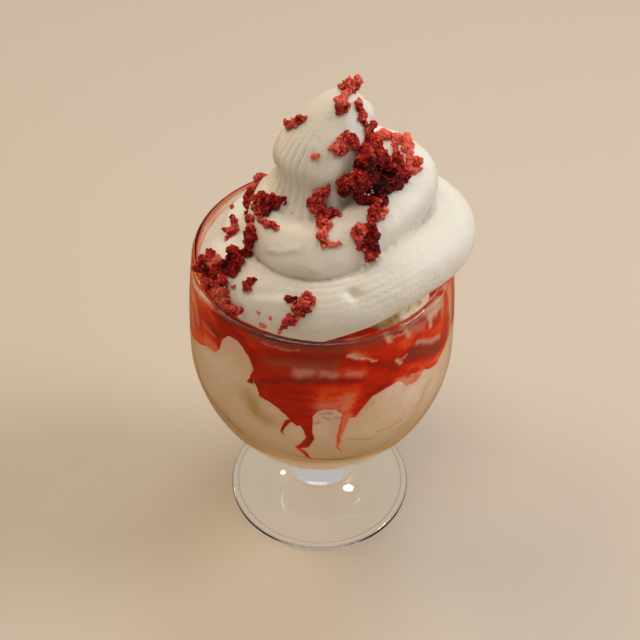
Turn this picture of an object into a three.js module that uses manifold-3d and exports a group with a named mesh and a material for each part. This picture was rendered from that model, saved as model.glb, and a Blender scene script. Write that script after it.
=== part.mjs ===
// Strawberry ice cream sundae in a short-stemmed glass goblet.
// Millimetres, +Z up. The origin is the middle of the foot's flat underside,
// +X is the side where the cream hangs over the rim, and -Y is the front.
import * as THREE from 'three';
import { mergeVertices } from 'three/addons/utils/BufferGeometryUtils.js';
import Module from 'manifold-3d';

const wasm = await Module();
wasm.setup();

// Driving sizes
const GAP = 0.3; // clearance between neighbouring pieces
const ROUND_SIDES = 36; // sides of the glass and of its fillings

const foot = { radius: 32, edge: 2.2, domeHeight: 9.5 };
const stem = { radius: 9.2, collar: 10.4, waist: 8.4, bottom: 11.5, top: 27 };
const bowl = {
  start: 29.5, // height where the bowl leaves the stem
  widest: 76, // height of the widest ring
  radius: 42.5, // at the widest ring
  roundness: 1.7, // 1 is a cone, 2 a quarter ellipse
  rim: 114,
  rimRadius: 40,
  wall: 1.8,
  floor: 4.2, // glass under the contents
};

// The fillings: heights at the glass wall, and how much each surface waves
const fill = {
  melted: 62,
  meltedWave: 1.2,
  sauceEdge: 90, // lower edge of the sauce
  sauceTop: 108.2,
  sauceWave: 0.5,
  sauceLowSide: 3.5, // how much lower the sauce lies at the left
};

// The top of the ice cream under the sauce, away from the wall. From wallFrom
// to wallTo, shares of the bowl's radius, it turns into the edge at the wall.
const dome = { height: 92.6, fall: 4, wave: 2, wallFrom: 0.66, wallTo: 0.92 };

// Where the sauce's lower edge runs higher or lower than fill.sauceEdge.
// Azimuth in degrees from +X, half width in degrees, height in mm.
const sauceEdgeForms = [
  { azimuth: -132, width: 8, rise: 15 },
  { azimuth: -108, width: 12, rise: -6 },
  { azimuth: -98.5, width: 5.5, rise: -28 },
  { azimuth: -81.5, width: 4.5, rise: -24 },
  { azimuth: -58, width: 18, rise: 4 },
  { azimuth: -12, width: 24, rise: -9 },
  { azimuth: 38, width: 14, rise: 7 },
  { azimuth: 64, width: 4.5, rise: -26 },
  { azimuth: 92, width: 16, rise: -7 },
  { azimuth: 124, width: 5, rise: -22 },
  { azimuth: 152, width: 14, rise: 8 },
];

// The upper scoop, which shows inside the rim at the front right
const scoop = { x: 13, y: -13.5, z: 103, radius: 17.6, height: 8.5, lump: 0.7 };

// The piped rope of cream. Each row is one eighth of a turn further round:
// distance from the axis, height, half width and half height.
const ropeStart = -270;
const ropeStep = 45;
const ropeRows = [
  { reach: 24, height: 107.5, wide: 10.6, high: 8.5 },
  { reach: 26.6, height: 111, wide: 11, high: 9.5 },
  { reach: 26.5, height: 113.5, wide: 11.4, high: 9.5 },
  { reach: 28, height: 117, wide: 11, high: 10.5 },
  { reach: 30.3, height: 120.8, wide: 11.6, high: 11 },
  { reach: 31.5, height: 125.2, wide: 11.5, high: 11.2 },
  { reach: 34, height: 124, wide: 12, high: 10.5 },
  { reach: 27.5, height: 120.5, wide: 12, high: 10.5 },
  { reach: 24.5, height: 119.4, wide: 12, high: 10.2 },
  { reach: 15.5, height: 125, wide: 10.5, high: 9.5 },
  { reach: 11.5, height: 133, wide: 9.5, high: 9.5 },
  { reach: 17, height: 132.5, wide: 10, high: 9.5 },
  { reach: 21.2, height: 134.2, wide: 10, high: 9.5 },
  { reach: 20, height: 141.3, wide: 10.5, high: 8.6 },
  { reach: 21.5, height: 142.6, wide: 10.5, high: 9 },
  { reach: 18, height: 140.5, wide: 10.5, high: 9 },
  { reach: 13, height: 141, wide: 10, high: 9 },
  { reach: 10.5, height: 143, wide: 9.5, high: 8.5 },
  { reach: 5, height: 146.4, wide: 7.8, high: 7.5 },
];
const ropeSides = 14;
const ropeStepsPerRow = 3;
const ropeOverlap = 0.3; // rows that one length of rope runs on into the next

// How a length of rope closes: rows before its end, and share of its thickness
const ropeClosing = [
  { back: 0.02, share: 0.6 },
  { back: 0.08, share: 0.88 },
];

// The upright end of the rope, which leans and closes in a rounded tip
const columnRings = [
  { x: 0, y: -2, height: 134, radius: 19.5 },
  { x: 0, y: -3, height: 140, radius: 17.5 },
  { x: 0, y: -3, height: 144.5, radius: 14.4 },
  { x: 0, y: -3, height: 149, radius: 13 },
  { x: 0, y: -2, height: 155, radius: 13.4 },
  { x: 1.6, y: -1, height: 161, radius: 11.6 },
  { x: 3.8, y: 0, height: 166, radius: 8.6 },
  { x: 5.2, y: 0, height: 169.6, radius: 5.6 },
  { x: 5.8, y: 0, height: 171.8, radius: 2.8 },
];
const columnTip = { x: 6.1, y: 0, height: 173 };
const curl = { x: 9, y: 2, z: 162.5, radius: 5.4 };

// The mound that the rope winds round
const mound = { x: 4, y: -1, bottom: 96, top: 148, bottomRadius: 27, topRadius: 9 };

// Clumps of cake crumb. Each arm runs from one point to another, at a given
// width, and holds that many crumbs.
const crumbClumps = [
  {
    name: 'crumbs_tip',
    arms: [
      { from: [0.5, 0.5, 173], to: [9.6, 1, 174.2], width: 5.6, crumbs: 3 },
      { from: [4.8, -1.8, 173], to: [4.8, -5.6, 170.4], width: 6.8, crumbs: 2 },
    ],
  },
  {
    name: 'crumbs_tip_front',
    arms: [{ from: [2.2, -12.8, 162], to: [8.4, -9.2, 164.8], width: 8, crumbs: 4 }],
  },
  {
    name: 'crumbs_heap',
    arms: [
      { from: [15, 4, 152.4], to: [16.5, -12, 150.8], width: 13, crumbs: 4 },
      { from: [15, -14, 150.6], to: [6, -15.6, 151.8], width: 8, crumbs: 1 },
      { from: [19, -1, 152.4], to: [27, -3, 151.8], width: 8, crumbs: 2 },
      { from: [17, 6, 152], to: [25, 7, 151.8], width: 6.5, crumbs: 1 },
      { from: [13.8, -2.6, 161], to: [15.4, -3.4, 154], width: 7, crumbs: 1 },
    ],
  },
  {
    name: 'crumbs_front',
    arms: [
      { from: [2.4, -16.6, 151.4], to: [-2.6, -18.4, 147.4], width: 9, crumbs: 2 },
      { from: [-2.2, -19, 147], to: [1, -23, 143.6], width: 9, crumbs: 2 },
      { from: [0, -23.4, 143.4], to: [4.4, -28, 141.4], width: 5.4, crumbs: 1 },
    ],
  },
  {
    name: 'crumbs_front_right',
    arms: [
      { from: [15, -19, 149.4], to: [14.6, -22, 147.8], width: 8, crumbs: 2 },
      { from: [13.6, -22.6, 147.2], to: [10.8, -26.4, 143.8], width: 10, crumbs: 3 },
      { from: [11.8, -27.8, 142.4], to: [14.2, -30, 137.2], width: 5.2, crumbs: 1 },
    ],
  },
  {
    name: 'crumbs_left',
    arms: [
      { from: [-16.2, 2.5, 142.6], to: [-19.8, -2, 140.2], width: 6, crumbs: 1 },
      { from: [-19.8, -3, 140], to: [-17.6, -11.4, 141.2], width: 9, crumbs: 3 },
      { from: [-17, -10.6, 141.4], to: [-12.4, -12.4, 144.4], width: 6.4, crumbs: 1 },
    ],
  },
  {
    name: 'crumbs_rim',
    arms: [
      { from: [-22.8, 1, 127], to: [-22.4, -15.5, 129], width: 5.6, crumbs: 2 },
      { from: [-22.6, -15.5, 128.6], to: [-32, -13.4, 123], width: 9, crumbs: 2 },
      { from: [-33, -12.5, 121.6], to: [-38, -11, 117.6], width: 6.6, crumbs: 1 },
      { from: [-31, -15, 122.6], to: [-30.5, -21, 119], width: 10.5, crumbs: 2 },
      { from: [-30.5, -21, 119], to: [-29.8, -24.8, 112], width: 7.6, crumbs: 1 },
      { from: [-29, -23, 121], to: [-25.4, -30.4, 118], width: 7, crumbs: 1 },
    ],
  },
  {
    name: 'crumbs_front_low',
    arms: [
      { from: [-8.8, -36.4, 128.8], to: [-3.2, -38.8, 128.8], width: 6.2, crumbs: 2 },
      { from: [-4.2, -39, 128], to: [-7.3, -41, 123.8], width: 4.2, crumbs: 0 },
      { from: [-7.3, -41, 124], to: [-10.4, -40.8, 118], width: 4, crumbs: 1 },
    ],
  },
];

// Single crumbs fused to the cream: place and radius
const looseCrumbs = [
  { at: [9.9, -2.3, 170.4], radius: 1.9 },
  { at: [10.8, -4.4, 167.6], radius: 2.2 },
  { at: [-10.2, -2.8, 161.4], radius: 2.3 },
  { at: [-8, -3.2, 163.6], radius: 2 },
  { at: [-6.2, -3, 165.4], radius: 1.5 },
  { at: [-2.1, -12.9, 159.8], radius: 1.3 },
  { at: [-18.8, -15.6, 139], radius: 1.9 },
  { at: [-15.8, -18.2, 140.2], radius: 2 },
  { at: [-12.6, -20.6, 140.8], radius: 1.7 },
  { at: [-27, 4.6, 122.8], radius: 2.6 },
  { at: [-28.6, 0, 123], radius: 3 },
  { at: [-21.3, -27.4, 125.3], radius: 2.4 },
  { at: [-25.4, -26.8, 122.9], radius: 1 },
  { at: [-17.1, -35.5, 117.2], radius: 1 },
  { at: [6, 12.5, 160], radius: 1.7 },
  { at: [3, 19, 148.6], radius: 3.4 },
  { at: [-2, 18.5, 148], radius: 2.8 },
  { at: [7, 22, 146.4], radius: 2.4 },
  { at: [-20, 24, 120.6], radius: 2.2 },
  { at: [18, 25, 131.4], radius: 3 },
  { at: [22, 20, 132], radius: 2.4 },
  { at: [34, 12, 128.6], radius: 1.8 },
];

// Within an arm, as shares of its width: how far its crumbs stray, the radius
// of the smallest crumb and how much larger they get, and the half width of
// the core that joins them
const crumbSpread = 0.24;
const crumbShare = 0.32;
const crumbRange = 0.1;
const coreShare = 0.34;
const crumbStretch = { least: 0.8, range: 0.4 };

const degrees = Math.PI / 180;

const looks = {
  glass: { color: 0xe8f0ee, roughness: 0.03, metalness: 0 },
  melted: { color: 0xcdb48a, roughness: 0.4, metalness: 0 },
  iceCream: { color: 0xd8c6a8, roughness: 0.5, metalness: 0 },
  sauce: { color: 0x960c04, roughness: 0.2, metalness: 0 },
  scoop: { color: 0xd6c79a, roughness: 0.5, metalness: 0 },
  cream: { color: 0xe4dccb, roughness: 0.55, metalness: 0 },
  crumb: { color: 0x8c1c18, roughness: 0.8, metalness: 0 },
};

const group = new THREE.Group();

function addNode(name, geometry, look) {
  const mesh = new THREE.Mesh(geometry, new THREE.MeshStandardMaterial(look));
  mesh.name = name;
  group.add(mesh);
}

// Mesh helpers

function cleaned(geometry) {
  geometry.deleteAttribute('normal');
  geometry.deleteAttribute('uv');
  const merged = mergeVertices(geometry, 1e-4);
  const corners = merged.index.array;
  const kept = [];
  for (let i = 0; i < corners.length; i += 3) {
    const [a, b, c] = [corners[i], corners[i + 1], corners[i + 2]];
    if (a !== b && b !== c && c !== a) kept.push(a, b, c);
  }
  merged.setIndex(kept);
  return merged;
}

function toSolid(geometry) {
  const merged = cleaned(geometry);
  return new wasm.Manifold(new wasm.Mesh({
    numProp: 3,
    vertProperties: new Float32Array(merged.attributes.position.array),
    triVerts: new Uint32Array(merged.index.array),
  }));
}

function toGeometry(solid) {
  const mesh = solid.getMesh();
  const geometry = new THREE.BufferGeometry();
  geometry.setAttribute('position', new THREE.Float32BufferAttribute(mesh.vertProperties, 3));
  geometry.setIndex(new THREE.Uint32BufferAttribute(mesh.triVerts, 1));
  geometry.computeVertexNormals();
  return geometry;
}

// A closed surface from rows of points. Each row is a ring, and a row of one
// point closes the surface there. Rows run from the bottom to the top.
function closedRings(rows) {
  const positions = [];
  const starts = [];
  for (const row of rows) {
    starts.push(positions.length / 3);
    for (const point of row) positions.push(point.x, point.y, point.z);
  }
  const index = [];
  for (let i = 0; i + 1 < rows.length; i++) {
    const low = rows[i];
    const high = rows[i + 1];
    const sides = Math.max(low.length, high.length);
    for (let j = 0; j < sides; j++) {
      const next = (j + 1) % sides;
      const a = starts[i] + (low.length > 1 ? j : 0);
      const b = starts[i] + (low.length > 1 ? next : 0);
      const c = starts[i + 1] + (high.length > 1 ? next : 0);
      const d = starts[i + 1] + (high.length > 1 ? j : 0);
      if (a !== b) index.push(a, b, c);
      if (c !== d) index.push(a, c, d);
    }
  }
  const geometry = new THREE.BufferGeometry();
  geometry.setAttribute('position', new THREE.Float32BufferAttribute(positions, 3));
  geometry.setIndex(index);
  return geometry;
}

function polar(radius, angle, z) {
  return new THREE.Vector3(radius * Math.cos(angle), radius * Math.sin(angle), z);
}

// A fixed sequence of random numbers from 0 to 1
function randomFrom(seed) {
  let state = seed;
  return () => {
    state = (state * 1664525 + 1013904223) % 4294967296;
    return state / 4294967296;
  };
}

// Glass

function bowlRadius(z) {
  if (z >= bowl.widest) {
    const up = (z - bowl.widest) / (bowl.rim - bowl.widest);
    return bowl.radius - (bowl.radius - bowl.rimRadius) * up * up;
  }
  const down = (bowl.widest - z) / (bowl.widest - bowl.start);
  const swell = (1 - down ** bowl.roundness) ** (1 / bowl.roundness);
  return stem.radius + (bowl.radius - stem.radius) * swell;
}

const cavityFloor = bowl.start + bowl.floor;
const lipRadius = bowl.wall / 2;

// Radius of the hollow inside the bowl, whose floor is a quarter ellipse
function cavityRadius(z) {
  const wallRadius = bowlRadius(z) - bowl.wall;
  if (z >= bowl.widest) return wallRadius;
  const down = (bowl.widest - z) / (bowl.widest - cavityFloor);
  return Math.min(wallRadius, (bowl.radius - bowl.wall) * Math.sqrt(1 - down * down));
}

// The hollow's wall, from its floor up to the lip
function cavityProfile(grow) {
  const steps = 9;
  const points = [new THREE.Vector2(0, cavityFloor + grow)];
  for (let i = 1; i <= steps; i++) {
    const z = THREE.MathUtils.lerp(cavityFloor, bowl.rim - lipRadius, (i / steps) ** 1.6);
    points.push(new THREE.Vector2(cavityRadius(z) - grow, z + (i < 3 ? grow : 0)));
  }
  return points;
}

// The glass from the middle of its underside, up the outside, over the lip
// and down the hollow
function glassProfile(grow) {
  const points = [];
  const put = (radius, z) => points.push(new THREE.Vector2(Math.max(radius, 0), z));
  put(0, -grow);
  const edgeRadius = foot.edge / 2;
  const edgeSteps = 4;
  for (let i = 0; i <= edgeSteps; i++) {
    const turn = Math.PI * (i / edgeSteps - 0.5);
    put(foot.radius - edgeRadius + (edgeRadius + grow) * Math.cos(turn),
      edgeRadius + (edgeRadius + grow) * Math.sin(turn));
  }
  const domeSteps = 4;
  for (let i = 1; i <= domeSteps; i++) {
    const t = i / domeSteps;
    const radius = THREE.MathUtils.lerp(foot.radius - edgeRadius, stem.collar, t);
    put(radius + grow / 2, foot.edge + (foot.domeHeight - foot.edge) * t ** 2 + grow);
  }
  put(stem.radius + grow, stem.bottom);
  put(stem.waist + grow, (stem.bottom + stem.top) / 2);
  const bowlSteps = 11;
  for (let i = 0; i <= bowlSteps; i++) {
    const t = (i / bowlSteps) ** 1.35;
    const z = THREE.MathUtils.lerp(bowl.start, bowl.rim - lipRadius, t);
    put(bowlRadius(z) + grow, z - (i < 2 ? grow : 0));
  }
  const lipSteps = 4;
  for (let i = 1; i < lipSteps; i++) {
    const turn = Math.PI * i / lipSteps;
    put(bowl.rimRadius - lipRadius + (lipRadius + grow) * Math.cos(turn),
      bowl.rim - lipRadius + (lipRadius + grow) * Math.sin(turn));
  }
  return points.concat(cavityProfile(grow).toReversed());
}

function turned(points, sides) {
  const rows = points.map((point) => {
    if (point.x < 1e-6) return [new THREE.Vector3(0, 0, point.y)];
    return Array.from({ length: sides }, (_, j) => polar(point.x, 2 * Math.PI * j / sides, point.y));
  });
  return closedRings(rows);
}

// Fillings

function formHeight(forms, angle) {
  let sum = 0;
  for (const form of forms) {
    let away = angle / degrees - form.azimuth;
    away -= 360 * Math.round(away / 360);
    sum += form.rise * Math.exp(-((away / form.width) ** 2));
  }
  return sum;
}

function meltedTop(angle, share) {
  return fill.melted + fill.meltedWave * Math.cos(2 * angle + 0.6) * share;
}

// The sauce's underside: drips and swells at the wall, a low dome inside
function sauceBottom(angle, share) {
  const atWall = THREE.MathUtils.smoothstep(share, dome.wallFrom, dome.wallTo);
  const inside = dome.height - dome.fall * share * share
    + dome.wave * Math.cos(3 * angle + 1) * share;
  const edge = fill.sauceEdge + formHeight(sauceEdgeForms, angle);
  return THREE.MathUtils.lerp(inside, edge, atWall);
}

function sauceTop(angle, share) {
  const lowSide = fill.sauceLowSide * Math.max(0, -Math.cos(angle));
  return fill.sauceTop + (fill.sauceWave * Math.cos(4 * angle) - lowSide) * share;
}

// All that lies under a surface, carried on past the glass wall. The rings of
// the surface lie at the given shares of the widest radius.
function under(surface, shares) {
  const rows = [[new THREE.Vector3(0, 0, cavityFloor)], [], []];
  const ring = (share) => Array.from({ length: ROUND_SIDES }, (_, j) => {
    const angle = 2 * Math.PI * j / ROUND_SIDES;
    return polar(share * bowl.radius, angle, surface(angle, share));
  });
  rows[2] = ring(1 + GAP / bowl.radius);
  rows[1] = rows[2].map((point) => new THREE.Vector3(point.x, point.y, cavityFloor));
  for (const share of shares) rows.push(ring(share));
  rows.push([new THREE.Vector3(0, 0, surface(0, 0))]);
  return toSolid(closedRings(rows));
}

function scoopGeometry(grow) {
  const sides = 20;
  const levels = 8;
  const rows = [];
  for (let i = 0; i <= levels; i++) {
    const tilt = Math.PI * (i / levels - 0.5);
    if (i === 0 || i === levels) {
      rows.push([new THREE.Vector3(scoop.x, scoop.y, scoop.z + (scoop.height + grow) * Math.sin(tilt))]);
      continue;
    }
    rows.push(Array.from({ length: sides }, (_, j) => {
      const angle = 2 * Math.PI * j / sides;
      const lump = scoop.lump * Math.sin(5 * angle + 3 * i) * Math.cos(3 * angle - i);
      const radius = (scoop.radius + grow + lump) * Math.cos(tilt) ** 0.6;
      const point = polar(radius, angle, (scoop.height + grow + lump * 0.6) * Math.sin(tilt));
      return point.add(new THREE.Vector3(scoop.x, scoop.y, scoop.z));
    }));
  }
  return closedRings(rows);
}

// Cream

function ropeAt(place) {
  const last = ropeRows.length - 1;
  const from = Math.min(Math.floor(place), last - 1);
  const t = place - from;
  const rows = [from - 1, from, from + 1, from + 2]
    .map((i) => ropeRows[THREE.MathUtils.clamp(i, 0, last)]);
  const blend = (key) => {
    const [p, a, b, n] = rows.map((row) => row[key]);
    const slope = (b - p) / 2;
    const slopeEnd = (n - a) / 2;
    return a + slope * t + (3 * (b - a) - 2 * slope - slopeEnd) * t * t
      + (2 * (a - b) + slope + slopeEnd) * t * t * t;
  };
  return {
    angle: (ropeStart + ropeStep * place) * degrees,
    reach: blend('reach'),
    height: blend('height'),
    wide: blend('wide'),
    high: blend('high'),
  };
}

// A length of rope between two places, with rounded ends
function ropeLength(from, to, grow) {
  const steps = Math.round((to - from) * ropeStepsPerRow);
  const rows = [];
  const ringAt = (place, shrink) => {
    const rope = ropeAt(place);
    return Array.from({ length: ropeSides }, (_, j) => {
      const turn = -2 * Math.PI * j / ropeSides;
      const reach = rope.reach + (rope.wide * shrink + grow) * Math.cos(turn);
      return polar(reach, rope.angle, rope.height + (rope.high * shrink + grow) * Math.sin(turn));
    });
  };
  const centre = (place) => {
    const rope = ropeAt(place);
    return [polar(rope.reach, rope.angle, rope.height)];
  };
  rows.push(centre(from));
  for (const { back, share } of ropeClosing) rows.push(ringAt(from + back, share));
  for (let i = 1; i < steps; i++) rows.push(ringAt(from + (to - from) * i / steps, 1));
  for (const { back, share } of ropeClosing.toReversed()) rows.push(ringAt(to - back, share));
  rows.push(centre(to));
  return closedRings(rows);
}

function columnGeometry(grow) {
  const sides = 24;
  const first = columnRings[0];
  const rows = [[new THREE.Vector3(first.x, first.y, first.height - grow)]];
  for (const ring of columnRings) {
    rows.push(Array.from({ length: sides }, (_, j) => {
      const point = polar(ring.radius + grow, 2 * Math.PI * j / sides, ring.height);
      return point.add(new THREE.Vector3(ring.x, ring.y, 0));
    }));
  }
  rows.push([new THREE.Vector3(columnTip.x, columnTip.y, columnTip.height + grow)]);
  return closedRings(rows);
}

function moundGeometry(grow) {
  const steps = 5;
  const sides = 20;
  const rows = [[new THREE.Vector3(mound.x, mound.y, mound.bottom)]];
  for (let i = 0; i <= steps; i++) {
    const t = i / steps;
    const z = THREE.MathUtils.lerp(mound.bottom, mound.top, t);
    const radius = THREE.MathUtils.lerp(mound.bottomRadius, mound.topRadius, t) + grow;
    rows.push(Array.from({ length: sides }, (_, j) => {
      const point = polar(radius, 2 * Math.PI * j / sides, z);
      return point.add(new THREE.Vector3(mound.x * (1 - t), mound.y, 0));
    }));
  }
  rows.push([new THREE.Vector3(0, mound.y, mound.top)]);
  return closedRings(rows);
}

function creamSolid(grow) {
  let cream = toSolid(columnGeometry(grow)).add(toSolid(moundGeometry(grow)));
  const last = ropeRows.length - 1;
  const rowsInLength = 2;
  for (let from = 0; from < last; from += rowsInLength) {
    const to = Math.min(from + rowsInLength + ropeOverlap, last);
    cream = cream.add(toSolid(ropeLength(from, to, grow)));
  }
  const ball = new THREE.IcosahedronGeometry(curl.radius + grow, 2);
  ball.translate(curl.x, curl.y, curl.z);
  return cream.add(toSolid(ball));
}

// Crumbs

// One crumb: a many-sided lump, stretched and turned at random
function crumbGeometry(centre, radius, random) {
  const geometry = new THREE.IcosahedronGeometry(radius, 0);
  const stretch = () => crumbStretch.least + crumbStretch.range * random();
  geometry.scale(stretch(), stretch(), stretch());
  geometry.rotateZ(2 * Math.PI * random());
  geometry.rotateX(2 * Math.PI * random());
  geometry.translate(centre.x, centre.y, centre.z);
  return geometry;
}

// A slim link from one end of an arm to the other, which joins its crumbs
function armCore(start, end, width) {
  const half = width * coreShare;
  const geometry = new THREE.IcosahedronGeometry(1, 0);
  geometry.scale(half, start.distanceTo(end) / 2 + half, half);
  const turn = new THREE.Quaternion().setFromUnitVectors(
    new THREE.Vector3(0, 1, 0),
    end.clone().sub(start).normalize(),
  );
  geometry.applyQuaternion(turn);
  const middle = start.clone().lerp(end, 0.5);
  geometry.translate(middle.x, middle.y, middle.z);
  return geometry;
}

function largestPiece(solid) {
  return solid.decompose().reduce((best, piece) => (piece.volume() > best.volume() ? piece : best));
}

function clumpSolid(clump, seed) {
  const random = randomFrom(seed);
  const lumps = [];
  for (const arm of clump.arms) {
    const start = new THREE.Vector3(...arm.from);
    const end = new THREE.Vector3(...arm.to);
    lumps.push(toSolid(armCore(start, end, arm.width)));
    for (let i = 0; i < arm.crumbs; i++) {
      const centre = start.clone().lerp(end, (i + 0.3 + 0.4 * random()) / arm.crumbs);
      const spread = arm.width * crumbSpread;
      centre.x += spread * (2 * random() - 1);
      centre.y += spread * (2 * random() - 1);
      centre.z += spread * (2 * random() - 1);
      const radius = arm.width * (crumbShare + crumbRange * random());
      lumps.push(toSolid(crumbGeometry(centre, radius, random)));
    }
  }
  return lumps.reduce((joined, lump) => joined.add(lump));
}

function looseSolid(grow) {
  const random = randomFrom(5);
  return looseCrumbs
    .map((crumb) => crumbGeometry(new THREE.Vector3(...crumb.at), crumb.radius + grow, random))
    .map(toSolid)
    .reduce((joined, lump) => joined.add(lump));
}

// Build the nodes

addNode('glass', cleaned(turned(glassProfile(0), ROUND_SIDES)), looks.glass);

const lifted = (surface, gap) => (angle, share) => surface(angle, share) + gap;
const grownGlass = toSolid(turned(glassProfile(GAP), ROUND_SIDES));
const grownScoop = toSolid(scoopGeometry(GAP));
const hollowTop = new THREE.Vector2(0, bowl.rim - lipRadius);
const hollow = toSolid(turned([...cavityProfile(GAP), hollowTop], ROUND_SIDES));

// Steep drips need a taller step between sauce and ice cream for the same gap
const dripGap = 2 * GAP;
const sauceShares = [dome.wallTo, 0.8, dome.wallFrom, 0.36];
const melted = hollow.intersect(under(meltedTop, []));
const iceCream = hollow.intersect(under(sauceBottom, sauceShares))
  .subtract(under(lifted(meltedTop, GAP), []));
const sauce = hollow.intersect(under(sauceTop, []))
  .subtract(under(lifted(sauceBottom, dripGap), sauceShares));

addNode('melted_ice_cream', toGeometry(melted), looks.melted);
addNode('ice_cream', toGeometry(iceCream), looks.iceCream);
addNode('strawberry_sauce', toGeometry(sauce.subtract(grownScoop)), looks.sauce);
addNode('upper_scoop', cleaned(scoopGeometry(0)), looks.scoop);

const contentsTop = under(lifted(sauceTop, GAP), []);
const below = grownGlass.add(contentsTop).add(grownScoop);
const cream = creamSolid(0).subtract(below).add(looseSolid(0));
addNode('whipped_cream', toGeometry(largestPiece(cream)), looks.cream);

const aroundCrumbs = creamSolid(GAP).add(looseSolid(GAP)).add(below);
crumbClumps.forEach((clump, i) => {
  const bare = clumpSolid(clump, 11 + 7 * i).subtract(aroundCrumbs);
  addNode(clump.name, toGeometry(largestPiece(bare)), looks.crumb);
});

export default group;
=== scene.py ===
# Strawberry ice cream sundae in a short-stemmed glass goblet.
# Sizes are in millimetres, and become metres where a mesh, light or camera is made.
# The origin is the middle of the foot's underside, +X the side where the cream
# hangs over the rim, -Y the front and +Z up. Azimuths are in degrees from +X.
import math

import bmesh
import bpy
import numpy as np
from mathutils import Matrix, Vector
from mathutils.bvhtree import BVHTree
from mathutils.kdtree import KDTree


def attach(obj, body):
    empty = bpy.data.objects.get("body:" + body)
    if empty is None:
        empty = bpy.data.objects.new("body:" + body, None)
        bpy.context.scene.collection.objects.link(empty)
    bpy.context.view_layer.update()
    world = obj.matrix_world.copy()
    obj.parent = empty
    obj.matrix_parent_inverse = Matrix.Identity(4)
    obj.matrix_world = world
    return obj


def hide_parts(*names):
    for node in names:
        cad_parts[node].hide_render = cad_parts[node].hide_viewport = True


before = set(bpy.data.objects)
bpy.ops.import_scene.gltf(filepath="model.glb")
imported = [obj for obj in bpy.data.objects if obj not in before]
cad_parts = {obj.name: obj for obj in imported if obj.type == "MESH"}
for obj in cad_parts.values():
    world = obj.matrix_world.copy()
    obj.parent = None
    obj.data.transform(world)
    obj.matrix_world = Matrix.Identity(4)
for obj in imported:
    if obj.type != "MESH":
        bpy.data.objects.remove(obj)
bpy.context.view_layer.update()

MM = 0.001

# Glass
FOOT = {"radius": 32, "bead": 1.35, "plate": 1.8, "dome": 11, "easing": 90}
STEM = {"radius": 9.2, "collar": 10.4, "waist": 8.4, "bottom": 11.5, "top": 27}
BOWL = {
    "start": 29.5,
    "widest": 76,
    "radius": 42.5,
    "roundness": 1.7,
    "rim": 114,
    "rim_radius": 40,
    "wall": 1.8,
    "floor": 4.2,
}
CAVITY_FLOOR = BOWL["start"] + BOWL["floor"]
LIP = BOWL["wall"] / 2
ARC_MM = math.radians(1) * (BOWL["radius"] - BOWL["wall"])  # along the wall, for one degree
GLASS_SIDES = 192
GLASS_IOR = 1.45
GLASS_TINT = (0.985, 0.995, 0.99)
PAINTED_EDGE_REFLECTION = (0.62, 0.55, 0.60)  # painted reflection along the lip and bead, for what refraction and reflection show there
PAINTED_BEAD_LINES = ((0.25, 0.4), (2.3, 0.35))  # the two painted lines on the bead: from its edge, and half width

# Fillings: how far each reaches into the glass wall, and where its surfaces lie
SAUCE_REACH = 0.25
FILLING_REACH = 0.15
MELTED_LEVEL = 62
SAUCE_TOP = 108.2
SAUCE_LOW_SIDE = 3.5
SAUCE_WAVE = 0.5
MENISCUS = {"height": 3.2, "width": 1.6}
SMEAR = {"middle": 152, "spread": 34, "top": 111.6, "pale": 0.75}  # up the wall at the back left
DOME = {"height": 92.6, "fall": 4, "wave": 2, "from": 0.66, "to": 0.93}
FILM = 2.2  # thickness of the sauce that runs down inside the glass
SAUCE_TONE = 0.36  # from maroon at 0 to pale orange at 1
SAUCE_MARGIN = {"width": 0.9, "tone": 0.35}
STAIN = {"share": 0.75, "width": 1.1}  # of sauce on the ice cream next to it

# Colours of the sauce from its lowest tone to its highest, and of its touches
SAUCE_RAMP = (
    (0.0, (0.20, 0.016, 0.010)),
    (0.32, (0.44, 0.009, 0.002)),
    (0.6, (0.72, 0.018, 0.002)),
    (0.82, (0.90, 0.07, 0.008)),
    (1.0, (0.92, 0.20, 0.08)),
)
# Painted haze: a brown veil for light that the glass under the rim refracts and reflects
SAUCE_PAINTED_HAZE = (0.37, 0.085, 0.04)
SAUCE_PALE = (0.86, 0.50, 0.34)

# Colours of the fillings: plain, its darker patches, and each kind of touch
# The palest ice cream is a painted highlight, where light falls on it
ICE_PAINTED_HIGHLIGHT = (0.96, 0.86, 0.76)
ICE_COLOURS = {
    "plain": (0.88, 0.68, 0.47), "darker": (0.84, 0.60, 0.40), "painted_highlight": ICE_PAINTED_HIGHLIGHT,
    "gold": (0.58, 0.37, 0.15), "pink": (0.88, 0.50, 0.37), "line": (0.40, 0.22, 0.11),
}
MELTED_COLOURS = {
    "plain": (0.88, 0.61, 0.31), "darker": (0.80, 0.52, 0.24), "painted_highlight": ICE_PAINTED_HIGHLIGHT,
    "gold": (0.66, 0.42, 0.18), "pink": (0.84, 0.50, 0.34), "line": (0.40, 0.22, 0.10),
}
SCOOP_COLOURS = {
    "plain": (0.86, 0.76, 0.54), "darker": (0.76, 0.62, 0.40), "painted_highlight": ICE_PAINTED_HIGHLIGHT,
    "gold": (0.50, 0.31, 0.07), "pink": (0.78, 0.26, 0.12), "line": (0.10, 0.03, 0.02),
}
TOUCH_KINDS = ("painted_highlight", "gold", "pink", "line")  # each is laid over the one before

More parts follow.
